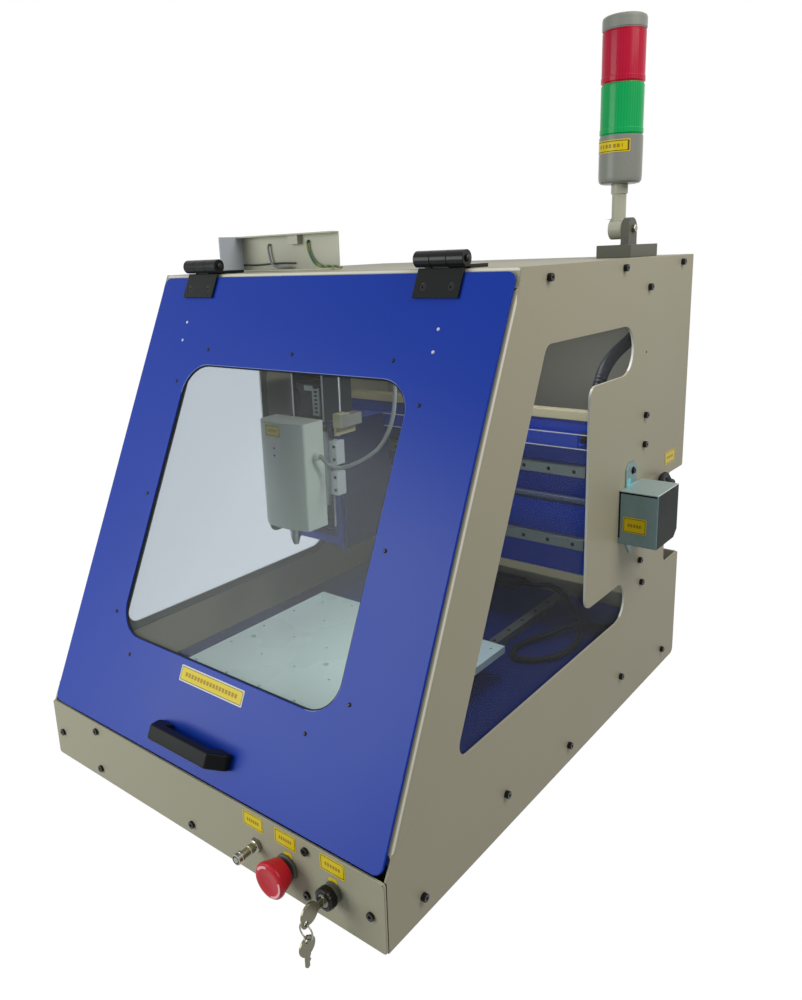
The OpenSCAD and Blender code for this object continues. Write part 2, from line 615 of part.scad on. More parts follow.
module window_gasket() color("black") placed() on_slope() difference() {
  xz(sheet_t * 0.4, sheet_t, rrect(-door_window_w / 2 + 0.1, door_window_low + 0.1,
    door_window_w / 2 - 0.1, door_window_high - 0.1, door_window_r - 0.1, 10));
  xz(0, sheet_t + 1, rrect(-door_window_w / 2 + 1.5, door_window_low + 1.5,
    door_window_w / 2 - 1.5, door_window_high - 1.5, door_window_r - 1.5, 10));
}
module door_handle() color("black") placed() on_slope() {
  translate([0, 0, 25]) linear_extrude(17) polygon([
    [-60, 0], [-60, -8], [-48, -27], [48, -27], [60, -8], [60, 0], [38, 0], [38, -12],
    [-38, -12], [-38, 0]]);
  for (x = [-49, 49])
    rod_y(-0.5, sheet_t + 2.5, x, 33.5, 2.5);
}
module door_screws() color("black") placed() on_slope() {
  for (p = door_bolts)
    turned_y(p[0], p[1], [
      [0, -1.6], [1.5, -1.6], [2.5, -0.6], [2.5, 0], [2, 0], [2, sheet_t + door_pane_t],
      [3.6, sheet_t + door_pane_t], [3.6, sheet_t + door_pane_t + 2.4], [0, sheet_t + door_pane_t + 2.4]]);
  for (p = door_rivets)
    turned_y(p[0], p[1], [[0, -1.2], [1.8, -1.2], [2.8, 0], [2, 0], [2, sheet_t], [0, sheet_t]]);
  for (x = [hinge_left_x, hinge_right_x]) for (dx = leaf_bolts)
    turned_y(x + dx, leaf_screw_s, [
      [0, -2.8], [4, -2.8], [2, -0.6], [2, sheet_t], [0, sheet_t]]);
}
module door_label() color("gold") placed() on_slope()
  xz(-0.4, 0, rrect(-50, 90, 54, 108, 2));

knuckle = (hinge_len - 2 * slide_gap) / 3;
module hinge_roof_leaves() color("black") placed() for (x = [hinge_left_x, hinge_right_x])
  translate([x, 0, 0]) difference() {
    union() {
      block([-leaf_half, hinge_y + hinge_r + 0.6, body_h], [leaf_half, hinge_y + 44, body_h + 4]);
      for (x0 = [-hinge_len / 2, hinge_len / 2 - knuckle]) {
        rod_x(x0, x0 + knuckle, hinge_y, hinge_z, hinge_r);
        block([x0, hinge_y, body_h + 1.6], [x0 + knuckle, hinge_y + hinge_r + 2, body_h + 4]);
      }
      rod_x(-hinge_len / 2 - 1, hinge_len / 2 + 1, hinge_y, hinge_z, hinge_pin_r);
    }
    for (dx = leaf_bolts) {
      rod_z(body_h - 1, body_h + 5, dx, hinge_y + 28, 2.1);
      turned_z(dx, hinge_y + 28, [[0, body_h + 1.5], [2.1, body_h + 1.5], [4.6, body_h + 4.1], [0, body_h + 4.1]]);
    }
  }
module hinge_door_leaves() color("black") placed() for (x = [hinge_left_x, hinge_right_x])
  translate([x, 0, 0]) difference() {
    union() {
      translate([0, hinge_y, hinge_z]) rotate([100, 0, 0])
        rod_x(-knuckle / 2, knuckle / 2, 0, 0, hinge_r);
      on_slope() {
        block([-leaf_half, -3, slope_len - 32], [leaf_half, 0, slope_len]);
        block([-knuckle / 2, -3, slope_len - 5], [knuckle / 2, 0, slope_len + 5]);
      }
    }
    rod_x(-knuckle, knuckle, hinge_y, hinge_z, hinge_pin_r + run_fit);
    on_slope() for (dx = leaf_bolts) {
      rod_y(-5, 1, dx, leaf_screw_s, 2.1);
      turned_y(dx, leaf_screw_s, [[0, -3.2], [4.6, -3.2], [2.1, -0.5], [0, -0.5]]);
    }
  }

// ---- roof parts ----
module wiring_tray() color("tan") placed() {
  block([tray_x + tray_t, tray_y, body_h], [tray_x + tray_len, tray_y + tray_d, body_h + tray_t]);
  block([tray_x + tray_t, tray_y + tray_d - tray_t, body_h], [tray_x + tray_len, tray_y + tray_d, body_h + tray_h]);
  block([tray_x + tray_t, tray_y + tray_d - 15, body_h + tray_h - tray_t],
    [tray_x + tray_len, tray_y + tray_d, body_h + tray_h]);
  block([tray_x + 97.5, tray_y + tray_d - 10, body_h + tray_h - 14],
    [tray_x + 115.5, tray_y + tray_d - 1, body_h + tray_h - 1]);
}
module tray_end_plate() color("slategray") placed()
  block([tray_x, tray_y, body_h], [tray_x + tray_t, tray_y + tray_d, body_h + tray_h]);
function in_tray(p) = [for (q = p) [tray_x + q[0], tray_y + q[1], body_h + q[2]]];
module tray_wires() color("gray") placed() {
  tube(in_tray([
    [56, 42.9, 35], [56, 41, 34.9], [56, 39, 32], [57, 39, 22], [62, 38.5, 10], [74, 37, 5], [88, 36, 5],
    [99, 36, 5]]), 1.6, 8, [0, 1, 0]);
  tube(in_tray([[3, 41.5, 9], [30, 41, 8.5], [56, 41.5, 9.5], [80, 41, 10], [104, 41, 9.5]]),
    1.2, 8, [0, 1, 0]);
  tube(in_tray([
    [129, 42.9, 37], [129, 41, 36.9], [129, 39.5, 34], [130, 40, 26], [138, 39, 12], [152, 36, 5], [172, 33, 4.4],
    [184, 31, 4], [197, 28, 2.2]]), 1.6, 8, [0, 1, 0]);
}

module tower_foot() color("dimgray") placed() {
  block([tower_x - 13, tower_y - 37, body_h], [tower_x + 33, tower_y + 53, body_h + 16]);
  block([tower_x + pole_r + slide_gap, tower_y - 14, body_h + 15],
    [tower_x + pole_r + 11, tower_y + 14, pivot_z]);
  rod_x(tower_x + pole_r + slide_gap, tower_x + pole_r + 11, tower_y, pivot_z, 14);
  rod_x(tower_x - pole_r - 2, tower_x + pole_r + 12, tower_y, pivot_z, 3);
}
module tower_pole() color("darkgray") placed() difference() {
  union() {
    rod_x(tower_x - pole_r, tower_x + pole_r, tower_y, pivot_z, 13);
    turned_z(tower_x, tower_y, [
      [0, pivot_z], [pole_r, pivot_z], [pole_r, tower_low - 12], [pole_r + 1.5, tower_low - 12],
      [pole_r + 1.5, tower_low], [0, tower_low]]);
  }
  rod_x(tower_x - 20, tower_x + 20, tower_y, pivot_z, 3 + run_fit);
}
module tower_ring(z0, z1, step) difference() {
  turned_z(tower_x, tower_y, [
    [0, z0], [tower_r - step, z0], [tower_r, z0 + step], [tower_r, z1], [0, z1]]);
}
module tower_body() color("darkgray") placed() tower_ring(tower_low, tower_low + 58, 3);
module lens_green() color("green", 0.8) placed() tower_ring(tower_low + 58, tower_low + 58 + lens_h, 0.6);
module lens_red() color("crimson", 0.8) placed()
  tower_ring(tower_low + 58 + lens_h, tower_low + 58 + 2 * lens_h, 0.6);
module tower_cap() color("darkgray") placed() turned_z(tower_x, tower_y, [
  [0, tower_low + 58 + 2 * lens_h], [tower_r, tower_low + 58 + 2 * lens_h],
  [tower_r, tower_low + 70.5 + 2 * lens_h], [tower_r - 3, tower_low + 74 + 2 * lens_h],
  [0, tower_low + 75 + 2 * lens_h]]);

// ---- front controls ----
module front_connector() color("silver") placed() turned_y(plug_x, plug_z, [
  [0, -29], [4.4, -29], [5.8, -27.5], [5.8, -21], [4.3, -20], [4.3, -5], [7.8, -4], [7.8, 0],
  [6, 0], [6, 6], [9, 6], [9, 9], [6, 9], [6, 20], [0, 20]]);
module stop_switch_body() color("dimgray") placed() difference() {
  union() {
    turned_y(stop_x, stop_z, [
      [0, -3.5], [13, -3.5], [14, -2.5], [14, 0], [stop_barrel_r, 0], [stop_barrel_r, 6],
      [15, 6], [15, 10], [stop_barrel_r, 10], [stop_barrel_r, 31], [0, 31]]);
    block([stop_x - 15, 30, stop_z - 15], [stop_x + 15, 58, stop_z + 15]);
  }
  rod_y(-4, 26, stop_x, stop_z, stop_stem_r + slide_gap);
}
module stop_plunger() color("gray") placed()
  rod_y(-20, 21, stop_x, stop_z, stop_stem_r);
module stop_head() color("red") placed() difference() {
  turned_y(stop_x, stop_z, [
    [0, -27], [stop_head_r - 2, -26], [stop_head_r, -24.5], [stop_head_r, -22],
    [stop_head_r - 4.5, -8], [0, -8]]);
  rod_y(-21, 0, stop_x, stop_z, stop_stem_r + run_fit);
}
module key_switch_body() color("dimgray") placed() difference() {
  turned_y(key_x, key_z, [
    [0, -16], [key_switch_r - 0.6, -16], [key_switch_r + 0.6, -14.8], [key_switch_r + 0.6, -7],
    [key_switch_r - 0.4, -6], [key_switch_r - 2.3, -6], [key_switch_r - 2.3, -1.5],
    [key_switch_r - 0.2, -1.5], [key_switch_r - 0.2, 0], [key_switch_r - 1.4, 0],
    [key_switch_r - 1.4, 6], [key_switch_r + 2, 6],
    [key_switch_r + 2, 9], [key_switch_r - 1.4, 9], [key_switch_r - 1.4, 34], [0, 34]]);
  rod_y(-17, 12, key_x, key_z, key_plug_r + run_fit);
}
// flat key lying in the plane x = key_x: bow centres and hole as [y, z]
module key_flat(bow, bow_r, ear, ear_r, hole, t) difference() {
  union() {
    rod_x(key_x - t / 2, key_x + t / 2, bow[0], bow[1], bow_r);
    rod_x(key_x - t / 2, key_x + t / 2, ear[0], ear[1], ear_r);
  }
  rod_x(key_x - 3, key_x + 3, hole[0], hole[1], key_hole_r);
}
module key() color("silver") placed() {
  key_flat([-34, key_z], 11, key_hole, 5.4, key_hole, key_bow_t);
  block([key_x - key_t / 2, -25, key_z - 4], [key_x + key_t / 2, -15, key_z + 4]);
  rod_y(-15.8, 11.5, key_x, key_z, key_plug_r);
}
module key_ring() color("silver") placed()
  translate([key_x, key_hole[0], ring_z]) rotate([90, 0, 0])
    rotate_extrude() translate([ring_r, 0]) circle(r = ring_wire);
module spare_key() color("silver") placed() {
  key_flat(spare_hole - [0, 6.5], 10, spare_hole, 4.6, spare_hole, key_t);
  yz(key_x - key_t / 2, key_x + key_t / 2, [for (q = [
    [-3.5, -14], [-3.5, -28], [-1, -30], [1.5, -28.5], [1.5, -24], [3.5, -22.5], [2, -19.5],
    [3.5, -17], [3.5, -14]]) spare_hole + q]);
}
module panel_labels() color("gold") placed() {
  for (x = [[88, 117], [134, 163], [195, 226]])
    xz(-0.4, 0, rrect(x[0], 56, x[1], 73, 2));
  xz(box_y - 0.4, box_y, rrect(half_w + 6, box_z + 17, half_w + 36, box_z + 37, 2));
  yz(half_w, half_w + 0.4, rrect(body_d - 73, 315, body_d - 35, 333, 1.5));
}
module power_inlet() color("black") placed() difference() {
  union() {
    xz(body_d, body_d + 3, rrect(-210, 43, -150, 77, 4));
    block([-203.5, body_d - 22, 46.5], [-156.5, body_d + 1, 73.5]);
  }
  block([-193, body_d - 16, 52], [-167, body_d + 4, 68]);
}
// motor cable: from the cover round the back and in through the notch of the right plate
motor_cable = [
  [half_w + 16, box_y + box_w + 0.6, 290], [half_w + 17, box_y + box_w + 12, 291],
  [half_w + 15, box_y + box_w + 30, 305], [half_w + 11, box_y + box_w + 48, 309],
  [half_w + 8, box_y + box_w + 70, 306], [half_w + 6, box_y + box_w + 90, 293],
  [half_w + 2, body_d - 44, 284], [half_w - 12, body_d - 32, 272],
  [half_w - 25, body_d - 28, 250], [half_w - 30, body_d - 26, 222]];
// hose: rear panel, forward past the upper window lobe, down to the cable ledge of the gantry
hose = [
  [half_w - 47, body_d - sheet_t - 0.8, body_h - 95], [half_w - 46.4, body_d - 40, body_h - 95.6],
  [half_w - 38, body_d - 90, body_h - 98], [half_w - 31, body_d - 140, body_h - 106],
  [half_w - 28, body_d - 190, body_h - 117], [half_w - 27, body_d - 220, body_h - 130],
  [half_w - 27, body_d - 237, body_h - 150], [half_w - 28, body_d - 244, body_h - 176],
  [half_w - 29, body_d - 240, beam_high + 9], [half_w - 33, body_d - 223, beam_high - 11],
  [half_w - 42, body_d - 203, beam_high - 19.5], [half_w - 56, body_d - 191, beam_high - 20],
  [half_w - 68, body_d - 188, beam_high - 20]];
// cable of the Y motor: over the rail, round one loop on the deck, out at the rear
deck_cable_z = deck_z + deck_t + 4.8;
deck_cable = [
  [motor_w / 2 + 0.6, y_motor_y + 26, deck_cable_z], [62, y_motor_y + 22, deck_cable_z + 5],
  [90, y_motor_y + 10, deck_cable_z + 13.6], [118, y_motor_y - 4, deck_cable_z + 13.8],
  [140, y_motor_y - 24, deck_cable_z + 6], [165, y_motor_y - 52, deck_cable_z],
  [188, y_motor_y - 88, deck_cable_z], [201, y_motor_y - 128, deck_cable_z],
  [198, y_motor_y - 170, deck_cable_z], [178, y_motor_y - 202, deck_cable_z],
  [152, y_motor_y - 212, deck_cable_z], [138, y_motor_y - 192, deck_cable_z],
  [142, y_motor_y - 158, deck_cable_z], [158, y_motor_y - 126, deck_cable_z + 2.2],
  [176, y_motor_y - 103, deck_cable_z + 9.5], [194, y_motor_y - 86, deck_cable_z + 10.4],
  [212, y_motor_y - 62, deck_cable_z + 4], [230, y_motor_y - 18, deck_cable_z],
  [231, body_d - sheet_t - 0.3, deck_cable_z]];
module black_cables() color("black") placed() {
  tube(motor_cable, 4, 8, [1, 0, 0]);
  tube(hose, hose_r, 10, [1, 0, 0]);
  tube(deck_cable, 4.5, 8, [0, 0, 1]);
}

base_plate();
side_plate_left();
side_plate_right();
side_windows();
front_strip();
roof_plate();
rear_panel();
rubber_feet();
frame_screws();
gantry_beams();
gantry_plate();
guide_rails();
axis_motors();
x_motor_cover();
bed_frame();
hinge_roof_leaves();
tower_foot();
wiring_tray();
tray_end_plate();
tray_wires();
stop_switch_body();
key_switch_body();
front_connector();
panel_labels();
power_inlet();
black_cables();
door_panel();
door_window();
window_gasket();
door_handle();
hinge_door_leaves();
door_screws();
door_label();
z_frame();
x_blocks();
z_motor_bracket();
z_motor();
limit_sensor();
conduit();
head_plate();
z_blocks();
head_cover();
spindle_body();
spindle_nose();
work_table();
table_plate();
table_blocks();
x_screw();
y_screw();
z_screw();
stop_plunger();
stop_head();
key();
key_ring();
spare_key();
tower_pole();
tower_body();
lens_green();
lens_red();
tower_cap();
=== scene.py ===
from math import atan2, cos, hypot, pi, radians, sin, tan

import bmesh
import bpy
from mathutils import Matrix, Vector


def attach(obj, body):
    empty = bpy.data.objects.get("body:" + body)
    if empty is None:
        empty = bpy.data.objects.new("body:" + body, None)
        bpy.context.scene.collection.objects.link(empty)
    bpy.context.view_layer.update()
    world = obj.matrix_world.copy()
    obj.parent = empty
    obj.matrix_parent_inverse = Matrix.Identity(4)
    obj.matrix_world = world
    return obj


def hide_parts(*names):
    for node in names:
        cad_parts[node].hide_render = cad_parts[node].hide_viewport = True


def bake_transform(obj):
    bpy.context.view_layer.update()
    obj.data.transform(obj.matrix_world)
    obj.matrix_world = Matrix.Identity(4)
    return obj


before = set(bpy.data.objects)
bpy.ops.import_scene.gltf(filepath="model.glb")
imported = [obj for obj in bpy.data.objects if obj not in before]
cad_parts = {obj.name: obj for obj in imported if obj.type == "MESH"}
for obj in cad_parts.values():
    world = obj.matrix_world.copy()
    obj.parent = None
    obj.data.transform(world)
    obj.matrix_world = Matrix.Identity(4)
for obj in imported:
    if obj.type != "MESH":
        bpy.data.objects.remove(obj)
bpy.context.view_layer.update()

# Lengths are in millimetres in the machine's own frame: x across, y from the front face
# to the back, z up from the underside of the base. Each piece is turned to metres at the end.
enclosure = dict(halfWidth=272.5, depth=720, height=600, stripHeight=76, roofFront=242, sheet=3)
stripHeight, slopeRun = enclosure["stripHeight"], enclosure["roofFront"]
slopeRise = enclosure["height"] - stripHeight
slopeAngle, slopeLength = atan2(slopeRun, slopeRise), hypot(slopeRun, slopeRise)


def shift(x, y, z):
    return Matrix.Translation((x, y, z))


def spun(degreesTurned, axis):
    return Matrix.Rotation(radians(degreesTurned), 4, axis)


machine = Matrix.Scale(0.001, 4) @ shift(0, -360, 22)
slope = machine @ shift(0, 0, stripHeight) @ Matrix.Rotation(-slopeAngle, 4, "X")
head = machine @ shift(-172, 0, 0)  # the drilling head's middle


# ---------- shader helpers ----------
def toned(tone, factor=1.0):
    # a colour as it shows on a screen, 0 to 255, turned to the linear value a shader takes
    linear = [((c / 255 + 0.055) / 1.055) ** 2.4 if c > 10 else c / 3294 for c in tone]
    return (*(min(1.0, c * factor) for c in linear), 1.0)


class Value:
    # wraps one socket, so that shader maths reads as plain expressions
    def __init__(self, nodes, socket):
        self.nodes, self.socket = nodes, socket

    def math(self, operation, *others):
        return self.nodes.node("Math", dict(enumerate((self, *others))), operation=operation)

    def __add__(self, other):
        return self.math("ADD", other)

    def __mul__(self, other):
        return self.math("MULTIPLY", other)

    def __gt__(self, other):
        return self.math("GREATER_THAN", other)


class NodeTree:
    def __init__(self, owner, ending):
        owner.use_nodes = True
        self.tree = owner.node_tree
        self.tree.nodes.clear()
        self.output = self.tree.nodes.new("ShaderNodeOutput" + ending)

    def node(self, kind, inputs, out=0, **settings):
        made = self.tree.nodes.new("ShaderNode" + kind)
        for key, value in settings.items():
            setattr(made, key, value)
        for key, value in inputs.items():
            if isinstance(value, Value):
                self.tree.links.new(value.socket, made.inputs[key])
            else:
                made.inputs[key].default_value = value
        return Value(self, made.outputs[out])

    def ray(self, kind):
        return self.node("LightPath", {}, f"Is {kind} Ray")

    def show(self, value):
        self.tree.links.new(value.socket, self.output.inputs[0])
        return self


class Finish(NodeTree):
    def __init__(self, name, **constants):
        self.material = bpy.data.materials.new(name)
        super().__init__(self.material, "Material")
        self.shader = self.tree.nodes.new("ShaderNodeBsdfPrincipled")
        self.plain = Value(self, self.shader.outputs[0])
        self.show(self.plain)
        for socket, value in constants.items():
            self.shader.inputs[socket.replace("_", " ")].default_value = value

    def at(self, **mapping):
        place = self.node("TexCoord", {}, "Object")
        return self.node("Mapping", {"Vector": place, **mapping}) if mapping else place

    def axes(self, place=None):
        split = self.node("SeparateXYZ", {0: place or self.at()})
        return [Value(self, s) for s in split.socket.node.outputs]

    def noise(self, scale, detail=2, place=None):
        return self.node("TexNoise", {"Vector": place or self.at(), "Scale": scale, "Detail": detail})

    def mix(self, share, first, second):
        return self.node("Mix", {0: share, 6: first, 7: second}, 2, data_type="RGBA")

    def set(self, socket, value):
        self.tree.links.new(value.socket, self.shader.inputs[socket])
        return self

    def vary(self, share, tone, swing):
        return self.set("Base Color", self.mix(share, toned(tone, 1 - swing), toned(tone, 1 + swing)))

    def bump(self, height, micrometres):
        return self.set("Normal", self.node("Bump", {"Height": height, "Distance": micrometres * 1e-6,
            "Strength": 1.0}))


def coat(name, tone, swing=0.05, rough=0.45, grain=750, relief=20, cloudScale=7, shine=0.2):
    # powder paint or moulded plastic: a slow drift of tone and a fine skin
    finish = Finish(name, Specular_IOR_Level=shine)
    cloud, fleck = finish.noise(cloudScale, 3), finish.noise(grain, 2)
    finish.vary(cloud * 0.85 + fleck * 0.15, tone, swing)
    return finish.set("Roughness", cloud * 0.16 + (rough - 0.08)).bump(fleck, relief)


def brushed(name, tone, stretch, rough=0.32, swing=0.1, metal=1.0, shine=0.5):
    # bare metal with its grain drawn out along one axis
    finish = Finish(name, Metallic=metal, Specular_IOR_Level=shine)
    streak, smudge = finish.noise(60, 3, finish.at(Scale=stretch)), finish.noise(14, 3)
    finish.vary(streak * 0.6 + smudge * 0.4, tone, swing)
    return finish.set("Roughness", smudge * 0.14 + streak * 0.1 + (rough - 0.12)).bump(streak, 30)


def lens(name, tone, lighter):
    # coloured lens: prism ribs inside run up its wall and show through the smooth skin
    finish = Finish(name, IOR=1.5, Coat_Weight=0.12, Coat_Roughness=0.08, Specular_IOR_Level=0.12)
    x, y, z = finish.axes(finish.at(Location=toTower))
    rib = (y.math("ARCTAN2", x) * 48).math("SINE") * 0.5 + 0.5
    cloud = finish.noise(30, 2)
    finish.set("Base Color", finish.mix(rib * 0.14 + cloud * 0.4, toned(tone, 0.86), toned(lighter)))
    return finish.set("Roughness", rib * 0.1 + 0.24).bump(rib, 10)


def clearPane(name, tone, gloss):
    # acrylic sheet: see-through face on, mirror-like at a grazing look, with a faint haze
    finish = Finish(name, Roughness=0.03, IOR=1.49)
    haze = finish.noise(5, 3)
    finish.set("Base Color", finish.mix(haze, (*(c * 0.85 for c in tone[:3]), 1), tone))
    through = finish.node("BsdfTransparent", {"Color": tone})
    skin = finish.node("BsdfGlossy", {"Color": (1, 1, 1, 1), "Roughness": 0.22})
    edge = finish.node("LayerWeight", {"Blend": 0.5}, "Facing").math("POWER", 5.0) * 0.96 + 0.04
    clear = finish.node("MixShader", {0: edge * gloss, 1: through, 2: skin})
    return finish.show(finish.node("MixShader", {0: haze * 0.02, 1: clear, 2: finish.plain}))


def twoTone(name, first, second, period, rough):
    # a wire sheath with a stripe of a second colour along it
    finish = Finish(name, IOR=1.5)
    x, y, z = finish.axes()
    band = ((x + y * 0.6 + z * 0.8) * (2 * pi / period)).math("SINE") > 0.1
    finish.set("Base Color", finish.mix(band, toned(first), toned(second)))
    return finish.set("Roughness", finish.noise(200, 1) * 0.1 + rough)


beigePaint = coat("beigePowderCoat", (158, 154, 134), 0.035, 0.48, 900, 10)
# a pale paint that stands for light caught on edges and bends: painted highlight
edgeHighlightPaint = coat("paintedEdgeHighlight", (214, 212, 200), 0.05, 0.4)
bluePaint = coat("bluePowderCoat", (5, 51, 158), 0.06, 0.38, 900, 10, 5)
doorPaint = coat("blueDoorCoat", (5, 51, 158), 0.05, 0.34, 900, 10, 4, shine=0.19)
# a pale blue that stands for light caught on the door window's edge: painted highlight
doorEdgeHighlight = coat("paintedDoorEdgeHighlight", (120, 142, 200), 0.05, 0.3)
# a darker copy of the blue paint for the deck, which lies in shade: painted shade
shadedDeckPaint = coat("shadedBlueDeckCoat", (10, 36, 108), 0.06, 0.38, 900, 10, 5)
knobBlack = coat("glossyBlackKnob", (14, 14, 16), 0.1, 0.24, 900, 10, shine=0.22)
shadedBlue = coat("shadedFrameBlue", (4, 16, 58), 0.06, 0.4, 900, 10, 5, shine=0.08)
coverPaint = coat("greenGreyCover", (200, 210, 200), 0.04, 0.42)
# a lit copy and a shaded copy of the bracket's paint: painted light and shade
bracketLitPaint = coat("paintedLitBracket", (226, 230, 234), 0.05, 0.35)
bracketShade = coat("shadedBracket", (40, 44, 50), 0.08, 0.4)
beamPaint = coat("creamBeamPaint", (188, 178, 140), 0.05, 0.5)
blackPlastic = coat("blackNylon", (18, 19, 22), 0.12, 0.36, 900, 40, shine=0.08)
hingeBlack = coat("glossyBlackHinge", (15, 17, 18), 0.12, 0.24, 900, 20, shine=0.2)
trayPaint = coat("paleTrayPaint", (184, 183, 168), 0.04, 0.45)
trayEndFilm = coat("paleTrayEnd", (178, 185, 196), 0.04, 0.35)
blackSteel = coat("blackenedSteel", (18, 18, 19), 0.15, 0.3, 400, 30, shine=0.3)
blackRubber = coat("blackRubber", (24, 24, 25), 0.12, 0.6, 500, 80, shine=0.14)
hoseSkin = coat("blackHose", (26, 27, 30), 0.1, 0.45, 300, 50, shine=0.16)
motorBlack = coat("motorEnamel", (20, 20, 22), 0.1, 0.38, 500, 40, shine=0.14)
motorCore = coat("motorCore", (30, 31, 33), 0.12, 0.42, 300, 40, shine=0.14)
# a near black that stands for shade in gaps, holes and slots (painted shade) and prints the sticker's dots
shadeAndDotInk = coat("paintedShadeAndDotInk", (14, 15, 16), 0.1, 0.7, 300, 20, shine=0.05)
greyPlastic = coat("greyMoulding", (134, 136, 130), 0.04, 0.3, 600, 20)
footGrey = coat("darkGreyMoulding", (92, 93, 83), 0.07, 0.48)
redPlastic = coat("redMoulding", (186, 26, 42), 0.06, 0.3, 500, 20, 20)
yellowFilm = coat("yellowLabelFilm", (216, 192, 20), 0.05, 0.34, 900, 10, 40)
amberFilm = coat("amberPrint", (160, 128, 20), 0.05, 0.4, 900, 10, 40)
borderInk = coat("labelBorderInk", (92, 74, 22), 0.08, 0.4, 900, 10, 40)
orangeFilm = coat("orangePrint", (214, 128, 26), 0.06, 0.4, 900, 10, 40)
whitePlastic = coat("whiteMoulding", (206, 208, 204), 0.04, 0.4)
creamPlastic = coat("creamMoulding", (190, 184, 146), 0.05, 0.42)
paleBoard = coat("paleLaminate", (212, 232, 228), 0.05, 0.28, 200, 20, 9)
wireGrey = coat("greySheath", (136, 142, 144), 0.05, 0.45, 300, 40)
wireDark = coat("darkSheath", (58, 70, 62), 0.1, 0.45, 300, 40)
cyanFilm = coat("paleCyanFilm", (128, 196, 206), 0.08, 0.25, 500, 10, 60)
wireGreen = twoTone("greenYellowSheath", (34, 92, 56), (124, 138, 64), 0.012, 0.4)
steelX = brushed("groundSteelX", (150, 152, 154), (0.4, 14, 14))
steelY = brushed("groundSteelY", (150, 152, 154), (14, 0.4, 14))
steelZ = brushed("groundSteelZ", (158, 160, 162), (14, 14, 0.4))
# a darker steel for the guide rails
steelDark = brushed("darkerRailSteel", (116, 122, 118), (0.4, 14, 14), 0.42, 0.12, 0.4)
# steel darkened to stand for the shade the X lead screw lies in: painted shade
shadedScrewSteel = brushed("paintedShadeScrewSteel", (62, 68, 92), (0.4, 14, 14), 0.45, 0.12, 0.4)
aluminium = brushed("milledAluminium", (168, 172, 176), (3, 16, 3), 0.38)
zincFront = brushed("zincPlatedFront", (122, 146, 148), (5, 5, 2), 0.46, 0.16, 0.3, shine=0.3)
# lit, shaded and highlight copies of the zinc plate for the motor cover's faces: painted light and shade
zincLitTop = brushed("zincPaintedLitTop", (170, 190, 190), (3, 3, 3), 0.4, 0.1, 0.4, shine=0.3)
zincShade = brushed("zincPlatedShade", (24, 32, 28), (5, 5, 2), 0.5, 0.14, 0.0, shine=0.08)
zincEdgeHighlight = brushed("zincPaintedEdgeHighlight", (214, 222, 220), (5, 5, 2), 0.3, 0.08, 0.5)
nickel = brushed("nickelPlate", (150, 148, 134), (6, 6, 6), 0.22, 0.3, 0.9)
darkNickel = brushed("agedNickel", (112, 110, 92), (7, 7, 7), 0.26, 0.35, 0.8)
brightPin = brushed("brightPin", (196, 196, 196), (9, 9, 1), 0.2)
doorPane = clearPane("clearAcrylicDoor", (0.93, 0.955, 0.95, 1), 0.17)
sidePanes = clearPane("clearAcrylicSide", (0.74, 0.76, 0.8, 1), 0.12)
polePaint = coat("palePole", (178, 178, 162), 0.04, 0.34)
paleSteel = brushed("paleGroundSteel", (214, 220, 220), (14, 14, 0.4), 0.4, 0.08, 0.3)
toTower = (-0.212, -0.244, 0)
redLens = lens("redLens", (180, 4, 46), (208, 20, 66))
greenLens = lens("greenLens", (0, 160, 80), (6, 190, 108))
print("finishes ready")


# ---------- modelling helpers ----------
def rounded(corners, radii, steps=6):
    # an outline with its corners rounded; radius 0 keeps a corner sharp
    out = []
    for i, corner in enumerate(corners):
        here, radius = Vector(corner), radii[i]
        if not radius:
            out.append(tuple(here))
            continue
        before = (Vector(corners[i - 1]) - here).normalized()
        after = (Vector(corners[(i + 1) % len(corners)]) - here).normalized()
        half = before.angle(after) / 2
        middle = here + (before + after).normalized() * radius / sin(half)
        start = here + before * radius / tan(half) - middle
        end = here + after * radius / tan(half) - middle
        first = atan2(start.y, start.x)
        sweepAngle = (atan2(end.y, end.x) - first + pi) % (2 * pi) - pi
        out += [tuple(middle + radius * Vector((cos(first + sweepAngle * k / steps),
            sin(first + sweepAngle * k / steps)))) for k in range(steps + 1)]
    return out


def rectangle(x0, y0, x1, y1, radius=0, steps=6):
    return rounded([(x0, y0), (x1, y0), (x1, y1), (x0, y1)], [radius] * 4, steps)


def disc(x, y, radius, steps=20):
    return [(x + radius * cos(2 * pi * i / steps), y + radius * sin(2 * pi * i / steps)) for i in range(steps)]


def soften(mesh, width, segments=2, angle=32, test=None):
    if width <= 0:
        return mesh
    edges = [e for e in mesh.edges if len(e.link_faces) == 2 and e.calc_face_angle(0) > radians(angle)
        and (test is None or test(e))]
    bmesh.ops.bevel(mesh, geom=edges, offset=width, offset_type="OFFSET", segments=segments, profile=0.5,
        affect="EDGES", clamp_overlap=False, material=-1, loop_slide=True)
    return mesh


def moved(mesh, *steps):
    for step in steps:
        bmesh.ops.transform(mesh, matrix=step, verts=mesh.verts)
    return mesh


def facesOut(mesh):
    bmesh.ops.recalc_face_normals(mesh, faces=mesh.faces)
    return mesh


def tint(mesh, choose):
    # gives each face one of a piece's finishes by its direction, its middle and its area
    for face in mesh.faces:
        face.material_index = int(choose(face.normal, face.calc_center_median(), face.calc_area()))
    return mesh


turnTo = {"z": Matrix.Identity(4), "x": Matrix(((0, 0, 1), (1, 0, 0), (0, 1, 0))).to_4x4(),
    "y": Matrix(((1, 0, 0), (0, 0, 1), (0, 1, 0))).to_4x4()}


def drawn(mesh, loops, spot):
    # closed outlines as edges; spot turns an outline's pair into a place
    rims = []
    for loop in loops:
        corners = [mesh.verts.new(spot(*pair)) for pair in loop]
        rims += [mesh.edges.new((corners[i - 1], corners[i])) for i in range(len(corners))]
    return rims


def vertsOf(made):
    return [g for g in made["geom"] if isinstance(g, bmesh.types.BMVert)]


